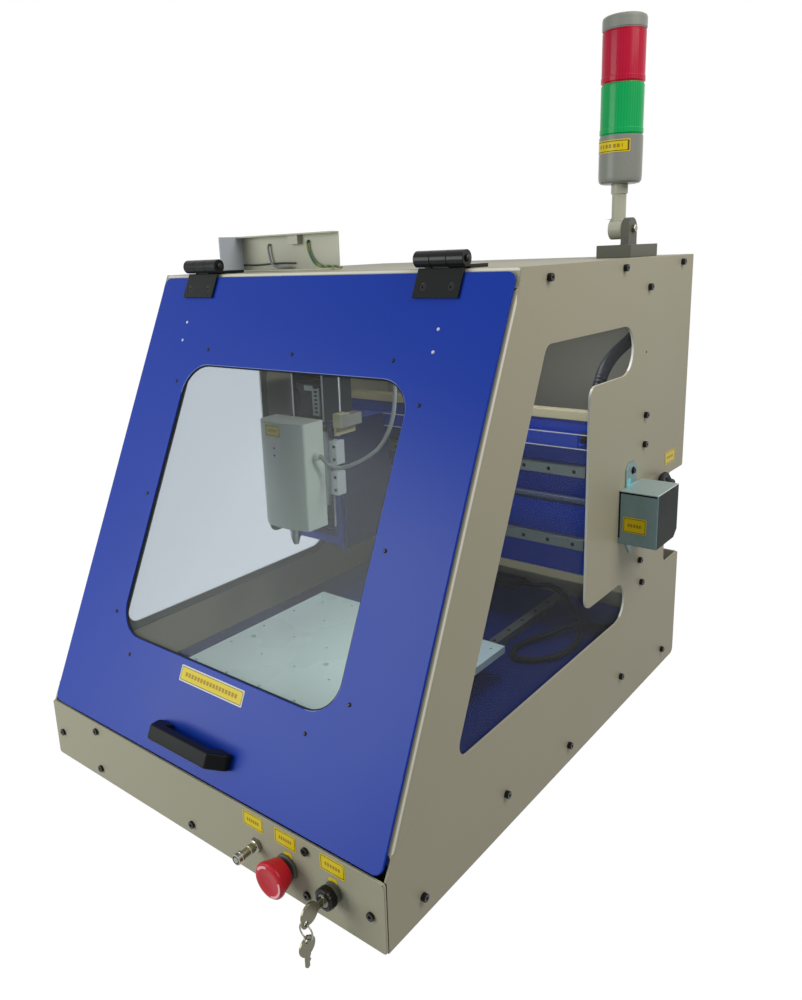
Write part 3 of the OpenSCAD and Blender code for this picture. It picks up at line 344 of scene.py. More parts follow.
def prism(outline, low, high, axis="z", soft=0.4, holes=(), segments=2):
    # outline is (x, y) for axis z, (y, z) for axis x and (x, z) for axis y
    mesh = bmesh.new()
    rims = drawn(mesh, (outline, *holes), lambda a, b: (a, b, low))
    if holes:
        bmesh.ops.triangle_fill(mesh, use_beauty=True, use_dissolve=False, edges=rims, normal=(0, 0, 1))
    else:
        bmesh.ops.contextual_create(mesh, geom=rims)
    lid = bmesh.ops.extrude_face_region(mesh, geom=mesh.faces[:])
    bmesh.ops.translate(mesh, vec=(0, 0, high - low), verts=vertsOf(lid))
    return soften(facesOut(moved(mesh, turnTo[axis])), soft, segments)


def block(low, high, soft=0.6, segments=2):
    mesh = bmesh.new()
    bmesh.ops.create_cube(mesh, size=1)
    low, high = Vector(low), Vector(high)
    bmesh.ops.scale(mesh, vec=high - low, verts=mesh.verts)
    bmesh.ops.translate(mesh, vec=(low + high) / 2, verts=mesh.verts)
    return soften(mesh, soft, segments)


def turned(profile, axis="z", at=(0, 0, 0), soft=0.3, steps=40):
    # profile lists (radius, distance along the axis); its inner corners are rounded by soft
    roomy = [(Vector(q) - Vector(p)).length > 2.2 * soft for p, q in zip(profile, profile[1:])]
    radii = [0, *(soft * (before and after) for before, after in zip(roomy, roomy[1:])), 0]
    line = rounded(profile, radii, 3) if any(radii) else profile
    mesh = bmesh.new()
    points = [mesh.verts.new((max(r, 0), 0, h)) for r, h in line]
    edges = [mesh.edges.new(pair) for pair in zip(points, points[1:])]
    bmesh.ops.spin(mesh, geom=[*points, *edges], cent=(0, 0, 0), axis=(0, 0, 1), dvec=(0, 0, 0), angle=2 * pi,
        steps=steps, use_merge=True, use_duplicate=False)
    bmesh.ops.remove_doubles(mesh, verts=mesh.verts, dist=1e-4)
    bmesh.ops.dissolve_degenerate(mesh, edges=mesh.edges, dist=1e-5)
    return facesOut(moved(mesh, shift(*at) @ turnTo[axis]))


def hexSocket(mesh, floor, flat):
    # presses the round recess above floor into a hexagon that measures flat across its sides
    for vert in mesh.verts:
        x, y, z = vert.co
        if z > floor and 0.05 < hypot(x, y) < flat * 0.585:
            reach = flat / 2 / cos(atan2(y, x) % (pi / 3) - pi / 6)
            vert.co.x, vert.co.y = Vector((x, y)).normalized() * reach
    return mesh


def screwHead(radius, height, flat=2.6, shank=2.5, length=4):
    mesh = turned([(0, -length), (shank, -length), (shank, 0), (radius, 0), (radius, height),
        (flat * 0.62, height), (flat * 0.55, height * 0.42), (0, height * 0.36)], soft=0.45, steps=24)
    return hexSocket(mesh, height * 0.38, flat)


def sunkHead(radius, depth, proud=0.0, flat=2.2, shank=2.0, length=4):
    mesh = turned([(0, -length), (shank, -length), (shank, -depth), (radius, proud - 0.15),
        (radius - 0.15, proud), (flat * 0.62, proud), (flat * 0.55, proud - 1.2), (0, proud - 1.4)], soft=0,
        steps=24)
    return hexSocket(mesh, proud - 1.3, flat)


def smoothPath(points, step):
    # even points on a curve that passes through the given ones
    points = [Vector(p) for p in points]
    ends = [2 * points[0] - points[1], *points, 2 * points[-1] - points[-2]]
    fine = []
    for a, b, c, d in zip(ends, ends[1:], ends[2:], ends[3:]):
        for k in range(24):
            t = k / 24
            fine.append(0.5 * (2 * b + (c - a) * t + (2 * a - 5 * b + 4 * c - d) * t ** 2
                + (3 * b - a - 3 * c + d) * t ** 3))
    fine.append(points[-1])
    out = [fine[0]]
    total = sum((q - p).length for p, q in zip(fine, fine[1:]))
    step = total / max(1, round(total / step))
    left = step
    for p, q in zip(fine, fine[1:]):
        length = (q - p).length
        while length >= left - 1e-9 and len(out) < round(total / step):
            p = p + (q - p) * (left / length)
            length, left = (q - p).length, step
            out.append(p)
            if length < 1e-9:
                break
        left -= length
    out.append(fine[-1])
    return out


def sweep(points, radius, sides=12, step=3.0, ripple=0.0, pitch=4.0):
    # a round tube drawn along points by extruding its ring; ripple gives it rings
    path = smoothPath(points, step)
    tangents = [(path[min(i + 1, len(path) - 1)] - path[max(i - 1, 0)]).normalized() for i in range(len(path))]
    across = tangents[0].orthogonal().normalized()
    frames, travelled = [], 0.0
    for i, (point, tangent) in enumerate(zip(path, tangents)):
        across = (across - tangent * across.dot(tangent)).normalized()
        travelled += (point - path[i - 1]).length if i else 0
        size = radius - ripple * (0.5 + 0.5 * cos(2 * pi * travelled / pitch)) if ripple else radius
        turn = Matrix((across, tangent.cross(across), tangent)).transposed().to_4x4()
        frames.append(Matrix.Translation(point) @ turn @ Matrix.Diagonal((size, size, 1, 1)))
    mesh = bmesh.new()
    ring = bmesh.ops.create_circle(mesh, cap_ends=False, radius=1, segments=sides)["verts"]
    bmesh.ops.transform(mesh, matrix=frames[0], verts=ring)
    first = edges = mesh.edges[:]
    for before, after in zip(frames, frames[1:]):
        made = bmesh.ops.extrude_edge_only(mesh, edges=edges)
        ring = vertsOf(made)
        fresh = set(ring)
        edges = [g for g in made["geom"] if isinstance(g, bmesh.types.BMEdge) and fresh.issuperset(g.verts)]
        bmesh.ops.transform(mesh, matrix=after @ before.inverted(), verts=ring)
    for rim in (first, edges):
        bmesh.ops.contextual_create(mesh, geom=rim)
    return facesOut(mesh)


def fromCad(node, soft=0.35, segments=2, place=machine, angle=32):
    # a merged copy of a node's mesh in the frame of place, with its sharp edges broken
    mesh = bmesh.new()
    mesh.from_mesh(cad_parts[node].data)
    moved(mesh, place.inverted())
    bmesh.ops.remove_doubles(mesh, verts=mesh.verts, dist=0.002)
    bmesh.ops.dissolve_limit(mesh, angle_limit=radians(0.4), use_dissolve_boundaries=False, verts=mesh.verts,
        edges=mesh.edges, delimit=set())
    return soften(tint(mesh, lambda *face: 0), soft, segments, angle)


def join(target, part):
    scratch = bpy.data.meshes.new("scratch")
    part.to_mesh(scratch)
    part.free()
    target.from_mesh(scratch)
    bpy.data.meshes.remove(scratch)


def linked(name, data):
    made = bpy.data.objects.new(name, data)
    bpy.context.scene.collection.objects.link(made)
    return made


def nodeName(name):
    return "".join("_" + c.lower() if c.isupper() else c for c in name)


class Piece:
    def __init__(self, name, place=machine):
        self.name, self.place, self.mesh, self.looks = name, place, bmesh.new(), []

    def add(self, part, *looks):
        self.looks += [look for look in looks if look not in self.looks]
        slots = [self.looks.index(look) for look in looks]
        for face in part.faces:
            face.material_index = slots[min(face.material_index, len(slots) - 1)]
        join(self.mesh, part)
        return self

    def addEach(self, parts, *steps):
        for part, look in parts:
            self.add(moved(part, *steps), look)
        return self

    def done(self, slot, body="machine_body", node=None, crease=38, bends=None):
        # rides a body and takes the place of a CAD node, the one of its own name unless given
        mesh = bpy.data.meshes.new(self.name)
        moved(self.mesh, self.place).to_mesh(mesh)
        self.mesh.free()
        for look in self.looks:
            mesh.materials.append(look.material)
        mesh.shade_smooth()
        mesh.set_sharp_from_angle(angle=radians(crease))
        made = linked(self.name, mesh)
        made.modifiers.new("evenShading", "WEIGHTED_NORMAL").keep_sharp = True
        if bends:
            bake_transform(made)
        else:
            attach(made, body)
        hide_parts(node or nodeName(self.name))
        return made


def cadPiece(name, look, slot, body="machine_body", soft=0.5, segments=2):
    # a piece with its CAD node's own shape and softened edges
    Piece(name).add(fromCad(nodeName(name), soft, segments), look).done(slot, body)


def framed(x0, z0, x1, z1, y=0.0, thick=0.4, corner=2.0, margin=1.1, line=0.7, edge=None):
    # a label that faces the front: a plate and a thin printed frame, as (part, finish) pairs
    plate = prism(rectangle(x0, z0, x1, z1, corner, 4), y - thick, y, "y", 0.08)
    outer = rectangle(x0 + margin, z0 + margin, x1 - margin, z1 - margin, max(corner - margin, 0.5), 4)
    inset = margin + line
    inner = rectangle(x0 + inset, z0 + inset, x1 - inset, z1 - inset, max(corner - inset, 0.4), 4)
    face = y - thick
    out = [(plate, edge or yellowFilm), (prism(outer, face - 0.04, face, "y", 0, [inner]), borderInk)]
    if edge:
        out.append((prism(inner, face - 0.03, face, "y", 0), yellowFilm))
    return out


def dashes(x0, z0, x1, z1, y, count):
    # a row of plain dashes stands where a label has its print
    row, step = bmesh.new(), (x1 - x0) / count
    for i in range(count):
        left = x0 + i * step
        join(row, prism(rectangle(left, z0, left + 0.7 * step, z1, 0.4, 2), y - 0.06, y, "y", 0))
    return [(row, amberFilm)]


print("helpers ready")

# ---------- enclosure ----------
bolts = dict(side=[(295, 588), (484, 590), (676, 591), (563, 564), (566, 401), (566, 362), (566, 201),
    (575, 166), (57, 24), (212, 44.5), (363, 24.5), (516, 49), (668, 26)],
    strip=[(-256, 35), (256, 35), (-176, 65), (176, 65), (-175, 14), (0, 14), (175, 14)], sideHead=(4.25, 5.0),
    stripHead=(4.25, 3.0))


def onSlope(depth, up):
    return (up * sin(slopeAngle) + depth * cos(slopeAngle), stripHeight + up * cos(slopeAngle)
        - depth * sin(slopeAngle))


def windowOutline(grow):
    run = slopeRun / slopeRise
    front, low, high = 88 - grow / cos(slopeAngle), 134 - grow, 521 + grow
    rear, tongue, bandLow, bandHigh = 521 + grow, 400 + grow, 187 + grow, 461 - grow
    lobeLow, lobeHigh = (bandLow - low) / 2 - 0.5, (high - bandHigh) / 2 - 0.5
    return rounded([(run * (low - 76) + front, low), (rear, low), (rear, bandLow), (tongue, bandLow),
        (tongue, bandHigh), (rear, bandHigh), (rear, high), (run * (high - 76) + front, high)],
        [15, lobeLow, lobeLow, 15, 15, lobeHigh, lobeHigh, 15], 8)


sidePlate = dict(foldRadius=4.2, flange=20, foldFrom=24, foldTo=555, edge=0.35, behindDoor=3.3,
    notch=(660, 166, 300))


def sidePlateSheet(side):
    inset = sidePlate["behindDoor"]
    back = inset / cos(slopeAngle)
    foldLow, foldHigh = onSlope(inset, sidePlate["foldFrom"]), onSlope(inset, sidePlate["foldTo"])
    rear, top, (notchIn, notchLow, notchHigh) = enclosure["depth"], enclosure["height"], sidePlate["notch"]
    outline = rounded([(3, 0), (rear, 0), (rear, notchLow), (notchIn, notchLow), (notchIn, notchHigh),
        (rear, notchHigh), (rear, top), (slopeRun + back, top), foldHigh, foldLow,
        (back, stripHeight)], [0, 8, 3, 12, 12, 3, 2, 0, 0, 0, 0])
    mesh = bmesh.new()
    rims = drawn(mesh, (outline, windowOutline(0)), lambda y, z: (0, y, z))
    bmesh.ops.triangle_fill(mesh, use_beauty=True, use_dissolve=False, edges=rims, normal=(1, 0, 0))
    ends = [Vector((0, *foldHigh)), Vector((0, *foldLow))]
    fold = [e for e in mesh.edges if e.is_boundary and all(min((v.co - end).length for end in ends) < 0.01 for v
        in e.verts)]
    made = bmesh.ops.extrude_edge_only(mesh, edges=fold)
    bmesh.ops.translate(mesh, vec=(-side * sidePlate["flange"], 0, 0), verts=vertsOf(made))
    bmesh.ops.bevel(mesh, geom=fold, offset=sidePlate["foldRadius"], offset_type="OFFSET", segments=6,
        profile=0.5, affect="EDGES", clamp_overlap=False, material=-1)
    facesOut(mesh)
    plate = max(mesh.faces, key=lambda f: f.calc_area())
    if plate.normal.x * side < 0:
        bmesh.ops.reverse_faces(mesh, faces=mesh.faces)
    bmesh.ops.solidify(mesh, geom=mesh.faces[:], thickness=enclosure["sheet"])
    outward = max(v.co.x * side for v in mesh.verts) > 1  # a wall that grew outwards is set back
    place = enclosure["halfWidth"] - (enclosure["sheet"] if outward else 0)
    facesOut(moved(mesh, shift(side * place, 0, 0)))

    def pale(way, spot, area):
        # painted highlight: the window's cut edge and the bend along the door get a pale paint that stands for
        # light caught on them
        atWindow = abs(spot.x) > 269 and 130 < spot.z < 525 and 92 < spot.y < 525
        if atWindow and abs(way.x) < 0.75 and spot.y > 85 + (spot.z - 76) * slopeRun / slopeRise:
            return way.y < -0.5 or (side < 0 and way.z > 0.4)
        return abs(spot.x) > 267 and 0.5 < side * way.x < 0.85 and way.y < -0.3 and area > 300

    return tint(soften(mesh, sidePlate["edge"], 2, 50), pale)


for name, side in (("sidePlateLeft", -1), ("sidePlateRight", 1)):
    # a dark strip in the seam beside the front strip is painted shade in the joint
    seam = sorted((side * 272.3, side * 272.56))
    Piece(name).add(sidePlateSheet(side), beigePaint, edgeHighlightPaint).add(block((seam[0], 3.02, 3), (seam[1], 3.7,
        75), 0), shadeAndDotInk).done("beige_paint")

sidePane = Piece("sideWindowPanes")
for low in (-269.5, 266.5):
    sidePane.add(prism(windowOutline(10), low, low + 3, "x", 0.3), sidePanes)
sidePane.done("clear_pane", node="side_windows")

stripHoles = [disc(106, 39, 6.2), disc(149, 34, 10.9), disc(211, 38, 9.5)]
Piece("frontStrip").add(prism(rectangle(-272.5, 0, 272.5, 76, 4), 0, 3, "y", 0.7, stripHoles, 3),
    beigePaint).done("beige_paint")

roof = fromCad("roof_plate", 0)
soften(roof, 3.6, 5, 15, lambda e: all(abs(v.co.x) > 0 and v.co.z > 599.9 and v.co.y < 250 for v in e.verts)
    and abs(e.verts[0].co.x - e.verts[1].co.x) > 300)
# painted highlight: its front bend gets the same pale paint as the bends along the door, standing for light
# caught on it
tint(soften(roof, 0.35), lambda way, spot, area: way.y < -0.45 and way.z > 0.45 and area > 300)
Piece("roofPlate").add(roof, beigePaint, edgeHighlightPaint).done("beige_paint")
cadPiece("basePlate", beigePaint, "beige_paint", soft=0.35)
cadPiece("rearPanel", beigePaint, "beige_paint")

feet = Piece("rubberFeet")
for x in (-217.5, 217.5):
    for y in (60, 660):
        feet.add(turned([(0, -22), (4, -22), (5, -20.6), (8, -20.6), (9, -22), (12.8, -22), (14.2, -12),
            (14.6, -3), (14.9, 0), (4.9, 0), (4.9, 3), (6.5, 3.6), (5.6, 7), (4, 9.6), (0, 10)], at=(x, y, 0),
            soft=0.5, steps=36), blackRubber)
feet.done("black_rubber")

hinges = dict(axisY=241, axisZ=610, centres=(-190, 181), screws=(-207.2, -172.8, 163.8, 198.2))
frameScrews = Piece("frameScrews")
for side in (-1, 1):
    for y, z in bolts["side"]:
        frameScrews.add(moved(screwHead(*bolts["sideHead"], length=7.6), spun(90 * side, "Y"),
            shift(side * 272.5, y, z)), blackSteel)
for x, z in bolts["strip"]:
    frameScrews.add(moved(screwHead(*bolts["stripHead"], length=7.6), spun(90, "X"), shift(x, 0, z)),
        blackSteel)
frameScrews.add(moved(screwHead(3.6, 3, length=7), spun(90, "Y"), shift(274, 530, 335)), blackSteel)
frameScrews.add(turned([(0, 272.4), (1.5, 272.4), (1.4, 273), (0, 273.1)], "x", (0, 562, 483), 0, 14),
    blackSteel)
for x in hinges["screws"]:
    frameScrews.add(moved(sunkHead(4, 2.3, length=11), shift(x, 269, 603.8)), blackSteel)
frameScrews.done("black_steel")
print("enclosure ready")

# ---------- roof: hinges, tray, tower foot ----------
roofLeaves = Piece("hingeRoofLeaves").add(fromCad("hinge_roof_leaves", 0.55, 3), hingeBlack)
for x in hinges["centres"]:
    for side in (-1, 1):
        cap = turned([(0, 0), (3.6, 0), (3.6, 1.6), (2.2, 2.4), (0, 2.6)], soft=0.4, steps=20)
        roofLeaves.add(moved(cap, spun(90 * side, "Y"), shift(x + side * 30.55, hinges["axisY"],
            hinges["axisZ"])), blackSteel)
roofLeaves.done("black_plastic")

cadPiece("wiringTray", trayPaint, "beige_paint", soft=0.4)
cadPiece("trayEndPlate", trayEndFilm, "zinc", soft=0.4)

towerFoot = Piece("towerFoot").add(fromCad("tower_foot", 0.9, 3), footGrey)
towerFoot.add(turned([(0, 0), (5.4, 0), (5.4, 3.4), (4.6, 4.2), (0, 4.4)], "x", (232.2, 604, 636), 0.3, 6),
    nickel)
towerFoot.done("black_plastic")


def cordPiece(name, points, diameter, look, slot, node, body="machine_body", place=machine, stiffness="medium",
        lay="hanging", bends=None, **tube):
    piece = Piece(name, place).add(sweep(points, diameter / 2, **tube), look)
    if bends:
        bends = (bends[0], tuple(place @ Vector(bends[1])), tuple(place @ Vector(bends[2])))
    made = piece.done(slot, body, node, 60, bends)
    path = [place @ Vector(p) for p in smoothPath(points, 4.0)]
    length = sum((q - p).length for p, q in zip(path, path[1:]))
    return made


trayWires = [("whiteTrayWire", wireGrey, 3.2, [(56, 42.9, 35), (56, 41, 34.9), (56, 39, 32), (57, 39, 22),
    (62, 38.5, 10), (74, 37, 5), (88, 36, 5), (99, 36, 5)]), ("thinTrayWire", wireDark, 2.4,
    [(3, 41.5, 9), (30, 41, 8.5), (56, 41.5, 9.5), (80, 41, 10), (104, 41, 9.5)]),
    ("earthTrayWire", wireGreen, 3.2, [(129, 42.9, 37), (129, 41, 36.9), (129, 39.5, 34), (130, 40, 26),
    (138, 39, 12), (152, 36, 5), (172, 33, 4.4), (184, 31, 4), (197, 28, 2.2)])]
for name, look, width, points in trayWires:
    cordPiece(name, [(x - 231, y + 305, z + 600) for x, y, z in points], width, look, "grey_wire", "tray_wires",
        stiffness="limp", lay="loose", sides=10, step=2.0)
print("roof ready")

# ---------- gantry, bed and drives ----------
cadPiece("gantryBeams", beamPaint, "cream_plastic")
gantry = Piece("gantryPlate").add(fromCad("gantry_plate", 0.5), bluePaint)
for z in (355.4, 375):  # painted highlight along the ledge's edges
    gantry.add(block((-200, 522.8, z - 0.5), (258, 523.3, z + 0.7), 0), edgeHighlightPaint)
gantry.done("blue_paint")
# the deck takes the darkened blue: painted shade
cadPiece("bedFrame", shadedDeckPaint, "blue_paint")

railSection = [(-7.5, 0), (7.5, 0), (7.5, 7.6), (5.9, 8.4), (5.9, 10.4), (7.5, 11.2), (7.5, 12.4), (6.9, 13),
    (-6.9, 13), (-7.5, 12.4), (-7.5, 11.2), (-5.9, 10.4), (-5.9, 8.4), (-7.5, 7.6)]
rails = Piece("guideRails")


def railScrew(*steps):
    rails.add(moved(turned([(0, 0), (2.6, 0), (2.8, 0.1), (0, 0.1)], soft=0, steps=14), *steps), motorBlack)


across = Matrix(((0, 0, 1), (0, -1, 0), (1, 0, 0))).to_4x4()
for z in (320, 216):  # across, standing off the gantry plate towards the front
    rails.add(moved(prism(railSection, -206, 206, "z", 0), shift(0, 548, z) @ across), steelDark)
    for i in range(-5, 6):
        railScrew(spun(90, "X"), shift(i * 38, 535, z))
for x in (-110, 110):  # front to back on the deck
    rails.add(moved(prism(railSection, 40, 680, "z", 0), shift(x, 0, 66) @ turnTo["y"]), steelDark)
    for i in range(16):
        railScrew(shift(x, 60 + i * 40, 79))
facesOut(rails.mesh)
rails.done("steel")


def motorCase(width, length):
    # stacked steel core between two end bells; front face at z 0, body below
    half = width / 2
    shell = rectangle(-half, -half, half, half, 5, 4)
    core = rectangle(-half + 0.7, -half + 0.7, half - 0.7, half - 0.7, 9, 4)
    parts = [(prism(shell, -9, 0, "z", 0.6), motorBlack), (prism(core, -length + 9, -9, "z", 0.2), motorCore),
        (prism(shell, -length, -length + 9, "z", 0.6), motorBlack),
        (turned([(3.5, -3), (19, -3), (19, 1.5), (17.6, 1.6), (3.5, 1.6)], soft=0.2), aluminium)]
    for x in (-1, 1):
        for y in (-1, 1):
            parts.append((moved(screwHead(3.4, 2.2, 2.2, 1.5, 1), spun(180, "X"),
                shift(x * (half - 5), y * (half - 5), -length)), blackSteel))
    parts.append((block((-9, half - 2, -length + 2), (9, half + 0.01, -length + 10), 0.4), whitePlastic))
    return parts


motors = Piece("axisMotors").addEach(motorCase(57, 44), spun(-90, "Y"), shift(272.5, 527, 282))
motors.addEach(motorCase(57, 44), spun(180, "Z"), spun(90, "X"), shift(0, 658, 45)).done("black_steel")


def coverLightAndShade(way, spot, area):
    # painted light and shade: the top is painted lit, the outer side painted in shade and the bevel between
    # them painted with a highlight
    if spot.x < 275 and spot.z > 318:
        return 0
    if 0.25 < way.x < 0.9 and way.z > 0.25 and spot.x > 320 and spot.z > 314:
        return 3
    return 2 if way.x > 0.9 and spot.x > 320 else way.z > 0.6


xCover = Piece("xMotorCover").add(tint(fromCad("x_motor_cover", 0.9, 3), coverLightAndShade), zincFront, zincLitTop,
    zincShade, zincEdgeHighlight)
# dark strips along the cover's seams are painted shade in its gaps
xCover.add(block((272.6, 491.86, 255), (274.6, 492.2, 316), 0), shadeAndDotInk)
xCover.add(block((273, 491.84, 313.8), (320.5, 492.1, 315.6), 0), shadeAndDotInk)
xCover.add(block((274.05, 508, 317.02), (276.2, 530, 318.6), 0.3), cyanFilm)
xCover.add(block((274.02, 511, 318), (274.3, 523, 327), 0.05), cyanFilm)
# a dark disc round the tab's screw is painted shade in its hole
xCover.add(turned([(0, 274.02), (5, 274.02), (5, 274.2), (0, 274.2)], "x", (0, 530, 335), 0, 24), shadeAndDotInk)
xCover.addEach(framed(278.5, 264, 308.5, 284, 491.95) + dashes(285, 271.6, 303, 276, 491.55, 5)).done("zinc")


def leadScrew(radius, start, end, coupling, shaftEnd, shaft=3.2, pitch=4.0):
    # ridged rod with its end coupling and motor shaft, along z from start
    line = [(0, start), (radius - 1, start), (radius - 0.7, start + 1)]
    at = start + 4
    while at < end - 6:
        line += [(radius - 0.55, at), (radius, at + pitch * 0.28), (radius, at + pitch * 0.6),
            (radius - 0.55, at + pitch * 0.88)]
        at += pitch
    line += [(radius - 0.6, end), (coupling, end), (coupling, end + 6), (coupling - 0.7, end + 6.6),
        (coupling - 0.7, end + 8.4), (coupling, end + 9), (coupling, end + 20), (shaft, end + 20),
        (shaft, shaftEnd), (0, shaftEnd)]
    return turned(line, soft=0, steps=20)


# the X lead screw wears the darkened steel: painted shade
Piece("xScrew").add(moved(leadScrew(6, -256, 247, 10, 292), shift(0, 527, 282) @ turnTo["x"]),
    shadedScrewSteel).done("steel", "x_lead_screw")
Piece("yScrew").add(moved(leadScrew(6, 30, 622, 10, 680), spun(-90, "X"), shift(0, 0, 45)),
    steelY).done("steel", "y_lead_screw")
Piece("zScrew", head).add(moved(leadScrew(5, 192, 346, 9, 401), shift(0, 452, 0)), steelZ).done("steel",
    "z_lead_screw")
print("drives ready")

# ---------- work table ----------
cadPiece("workTable", paleBoard, "pale_board", "table")
cadPiece("tablePlate", aluminium, "aluminium", "table", 0.4)
cadPiece("tableBlocks", steelY, "steel", "table")

# ---------- carriage and drilling head ----------
zFrame = tint(fromCad("z_frame", 0.6), lambda way, spot, area: way.x > 0.9)  # its outer side lies in shade
Piece("zFrame").add(zFrame, bluePaint, shadedBlue).done("blue_paint", "x_carriage")
cadPiece("xBlocks", steelX, "steel", "x_carriage", 0.6)
# painted light and shade: the bracket's front faces are painted pale as if lit, its sides painted dark as if
# shaded
bracket = tint(fromCad("z_motor_bracket", 0.5), lambda way, spot, area: way.y >= -0.3)
Piece("zMotorBracket").add(bracket, bracketLitPaint, bracketShade).done("grey_paint", "x_carriage")
zMotor = Piece("zMotor", head).addEach(motorCase(57, 54), spun(180, "X"), shift(0, 432, 381))
zMotor.add(block((8, 402.2, 389), (22, 404.6, 430), 0.4), whitePlastic)
# dark slots on the white block are painted shade in its openings
for z in range(393, 430, 6):
    zMotor.add(block((12, 401.9, z), (18, 402.6, z + 3), 0), shadeAndDotInk)
zMotor.done("black_steel", "x_carriage")

sensor = tint(fromCad("limit_sensor", 0.5, place=head), lambda way, spot, area: 2 if spot.z > 398.1
    and hypot(spot.x - 62.5, spot.y - 402) < 2.2 else spot.y > 410.2 and spot.z > 379.2)
Piece("limitSensor", head).add(sensor, creamPlastic, greyPlastic, brightPin).done("cream_plastic", "x_carriage")

cadPiece("headPlate", aluminium, "aluminium", "z_head")
blocks = Piece("zBlocks", head).add(fromCad("z_blocks", 0.6, place=head), paleSteel)
for x in (-59, -41, 41, 59):
    for z in (285, 304, 331, 350):
        blocks.add(moved(screwHead(2.4, 1.4, 1.7, 1, 0.5), spun(90, "X"), shift(x, 388, z)), blackSteel)
blocks.done("steel", "z_head")

headCover = Piece("headCover", head).add(fromCad("head_cover", 0.7, 3, place=head), coverPaint)
onCover = (spun(-2.96, "Z"), shift(-6.5, 331.9, 0))
headCover.addEach(framed(-15.5, 369, 15.5, 386, 0, 0.35, 1.2, 1.2, 0.8) + dashes(-9, 375.6, 9, 379.6, -0.35, 5),
    *onCover)
headCover.add(moved(prism(rectangle(-14, 328, 14.5, 366, 1, 3), -0.3, 0, "y", 0.05), *onCover), whitePlastic)
for z in (341, 352):
    headCover.add(moved(prism(disc(0.5, z, 1.6, 14), -0.36, -0.3, "y", 0), *onCover), shadeAndDotInk)
headCover.done("beige_paint", "z_head")
cadPiece("spindleBody", steelZ, "steel", "z_head", 0.3)
Piece("spindleNose", head).add(turned([(0, 262), (7.5, 262), (7.5, 236), (9, 236), (9, 229), (8.4, 228),
    (9, 227), (9, 222), (7.5, 222), (7.5, 212), (4, 200), (1.6, 200), (1.6, 212), (0, 212)], at=(0, 358, 0),
    soft=0.3), steelZ).done("steel", "spindle")

conduitPath = [(56.6, 361, 341), (58.5, 361.2, 340.8), (62, 371, 328), (72, 382, 322), (89, 386, 326),
    (113, 389, 338), (138, 392, 356), (153, 395, 378), (160, 397, 397), (163, 399, 416), (165, 400, 449),
    (165, 402, 500), (162, 406, 550), (161, 408, 575), (161, 408, 596.9)]
print("head ready")

# ---------- door ----------
door = dict(half=267.5, low=3, high=slopeLength - 4, corner=10, window=(-176, 115, 176, 458), windowCorner=38,
    pane=(-199, 85, 199, 485, 20), bolts=[(-146, 93), (146, 93), (-146, 478), (0, 478), (146, 478),
    (-191, 135.6), (-191, 286.5), (-191, 434), (191, 135.6), (191, 286.5), (191, 434)],
    rivets=[(-200, 512.2), (-200, 488.2), (193, 513.2), (193, 489.2)])


def windowRim(inset):
    x0, y0, x1, y1 = door["window"]
    return rectangle(x0 + inset, y0 + inset, x1 - inset, y1 - inset, door["windowCorner"] - inset, 12)


panel = prism(rectangle(-door["half"], door["low"], door["half"], door["high"], door["corner"], 8), 0, 3, "y",
    0.7, [windowRim(0)], 3)
# painted highlight: the front edge of the window's opening is painted pale above and to the right
tint(panel, lambda way, spot, area: -0.97 < way.y < -0.2 and abs(spot.x) < 178 and 113 < spot.z < 460
    and (spot.x > 140 or spot.z > 420))
Piece("doorPanel", slope).add(panel, doorPaint, doorEdgeHighlight).done("blue_paint", "door")
Piece("doorWindow", slope).add(prism(rectangle(*door["pane"]), 3, 7, "y", 0.4), doorPane).done("clear_pane",
    "door")
Piece("windowGasket", slope).add(prism(windowRim(0.1), 1.3, 3, "y", 0.2, [windowRim(1.5)]),
    blackRubber).done("black_rubber", "door")
Piece("doorHandle", slope).add(fromCad("door_handle", 2.2, 4, slope, 20), blackPlastic).done("black_plastic",
    "door")

cadPiece("hingeDoorLeaves", hingeBlack, "black_plastic", "door", 0.55, 3)

doorScrews = Piece("doorScrews", slope)
boltShape = [(0, 2), (2.4, 2), (2.4, 0.4), (1.8, -1.2), (1, -1.6), (0, -1.6)]
rivetShape = [(0, 2), (1.9, 2), (1.9, 0), (1.3, -0.8), (0, -0.9)]
for places, profile, soft, steps, look in ((door["bolts"], boltShape, 0.25, 18, blackSteel),
        (door["rivets"], rivetShape, 0.2, 16, whitePlastic)):
    for x, up in places:
        doorScrews.add(moved(turned(profile, soft=soft, steps=steps), shift(x, 0, up) @ turnTo["y"]), look)
for x in hinges["screws"]:
    doorScrews.add(moved(sunkHead(4, 2.2, length=6), spun(90, "X"), shift(x, -2.8, slopeLength - 21)),
        blackSteel)
facesOut(doorScrews.mesh)
doorScrews.done("black_steel", "door")

Piece("doorLabel", slope).addEach(framed(-50, 90, 54, 108, 0, 0.36, 1.4, 1.6, 0.7, whitePlastic)
    + dashes(-41, 96.8, 46, 101.4, -0.38, 17)).done("yellow_label", "door")
print("door ready")

# ---------- front controls ----------
labels = Piece("panelLabels")
for x0, x1 in ((88, 117), (134, 163), (195, 226)):
    labels.addEach(framed(x0, 56, x1, 73, 0, 0.35) + dashes(x0 + 6, 62.6, x1 - 5, 66.4, -0.35, 6))
for x, z in ((151.5, 46), (210.5, 46.5)):  # small marks above the button and the key switch
    labels.addEach([(prism(rectangle(-5.5, -4, 5.5, 5, 1, 3), -0.3, 0, "y", 0.05), yellowFilm),
        (prism(rectangle(-2.6, -1.6, 2.4, 2.4, 1, 3), -0.36, -0.3, "y", 0), orangeFilm)], spun(-8, "Y"),
        shift(x, 0, z))
labels.addEach(framed(-19, -9, 19, 9, 0, 0.35, 1.5, 1.2, 0.7) + dashes(-12, -2, 12, 2, -0.35, 5), spun(90, "Z"),
    shift(272.5, 666, 324)).done("yellow_label")

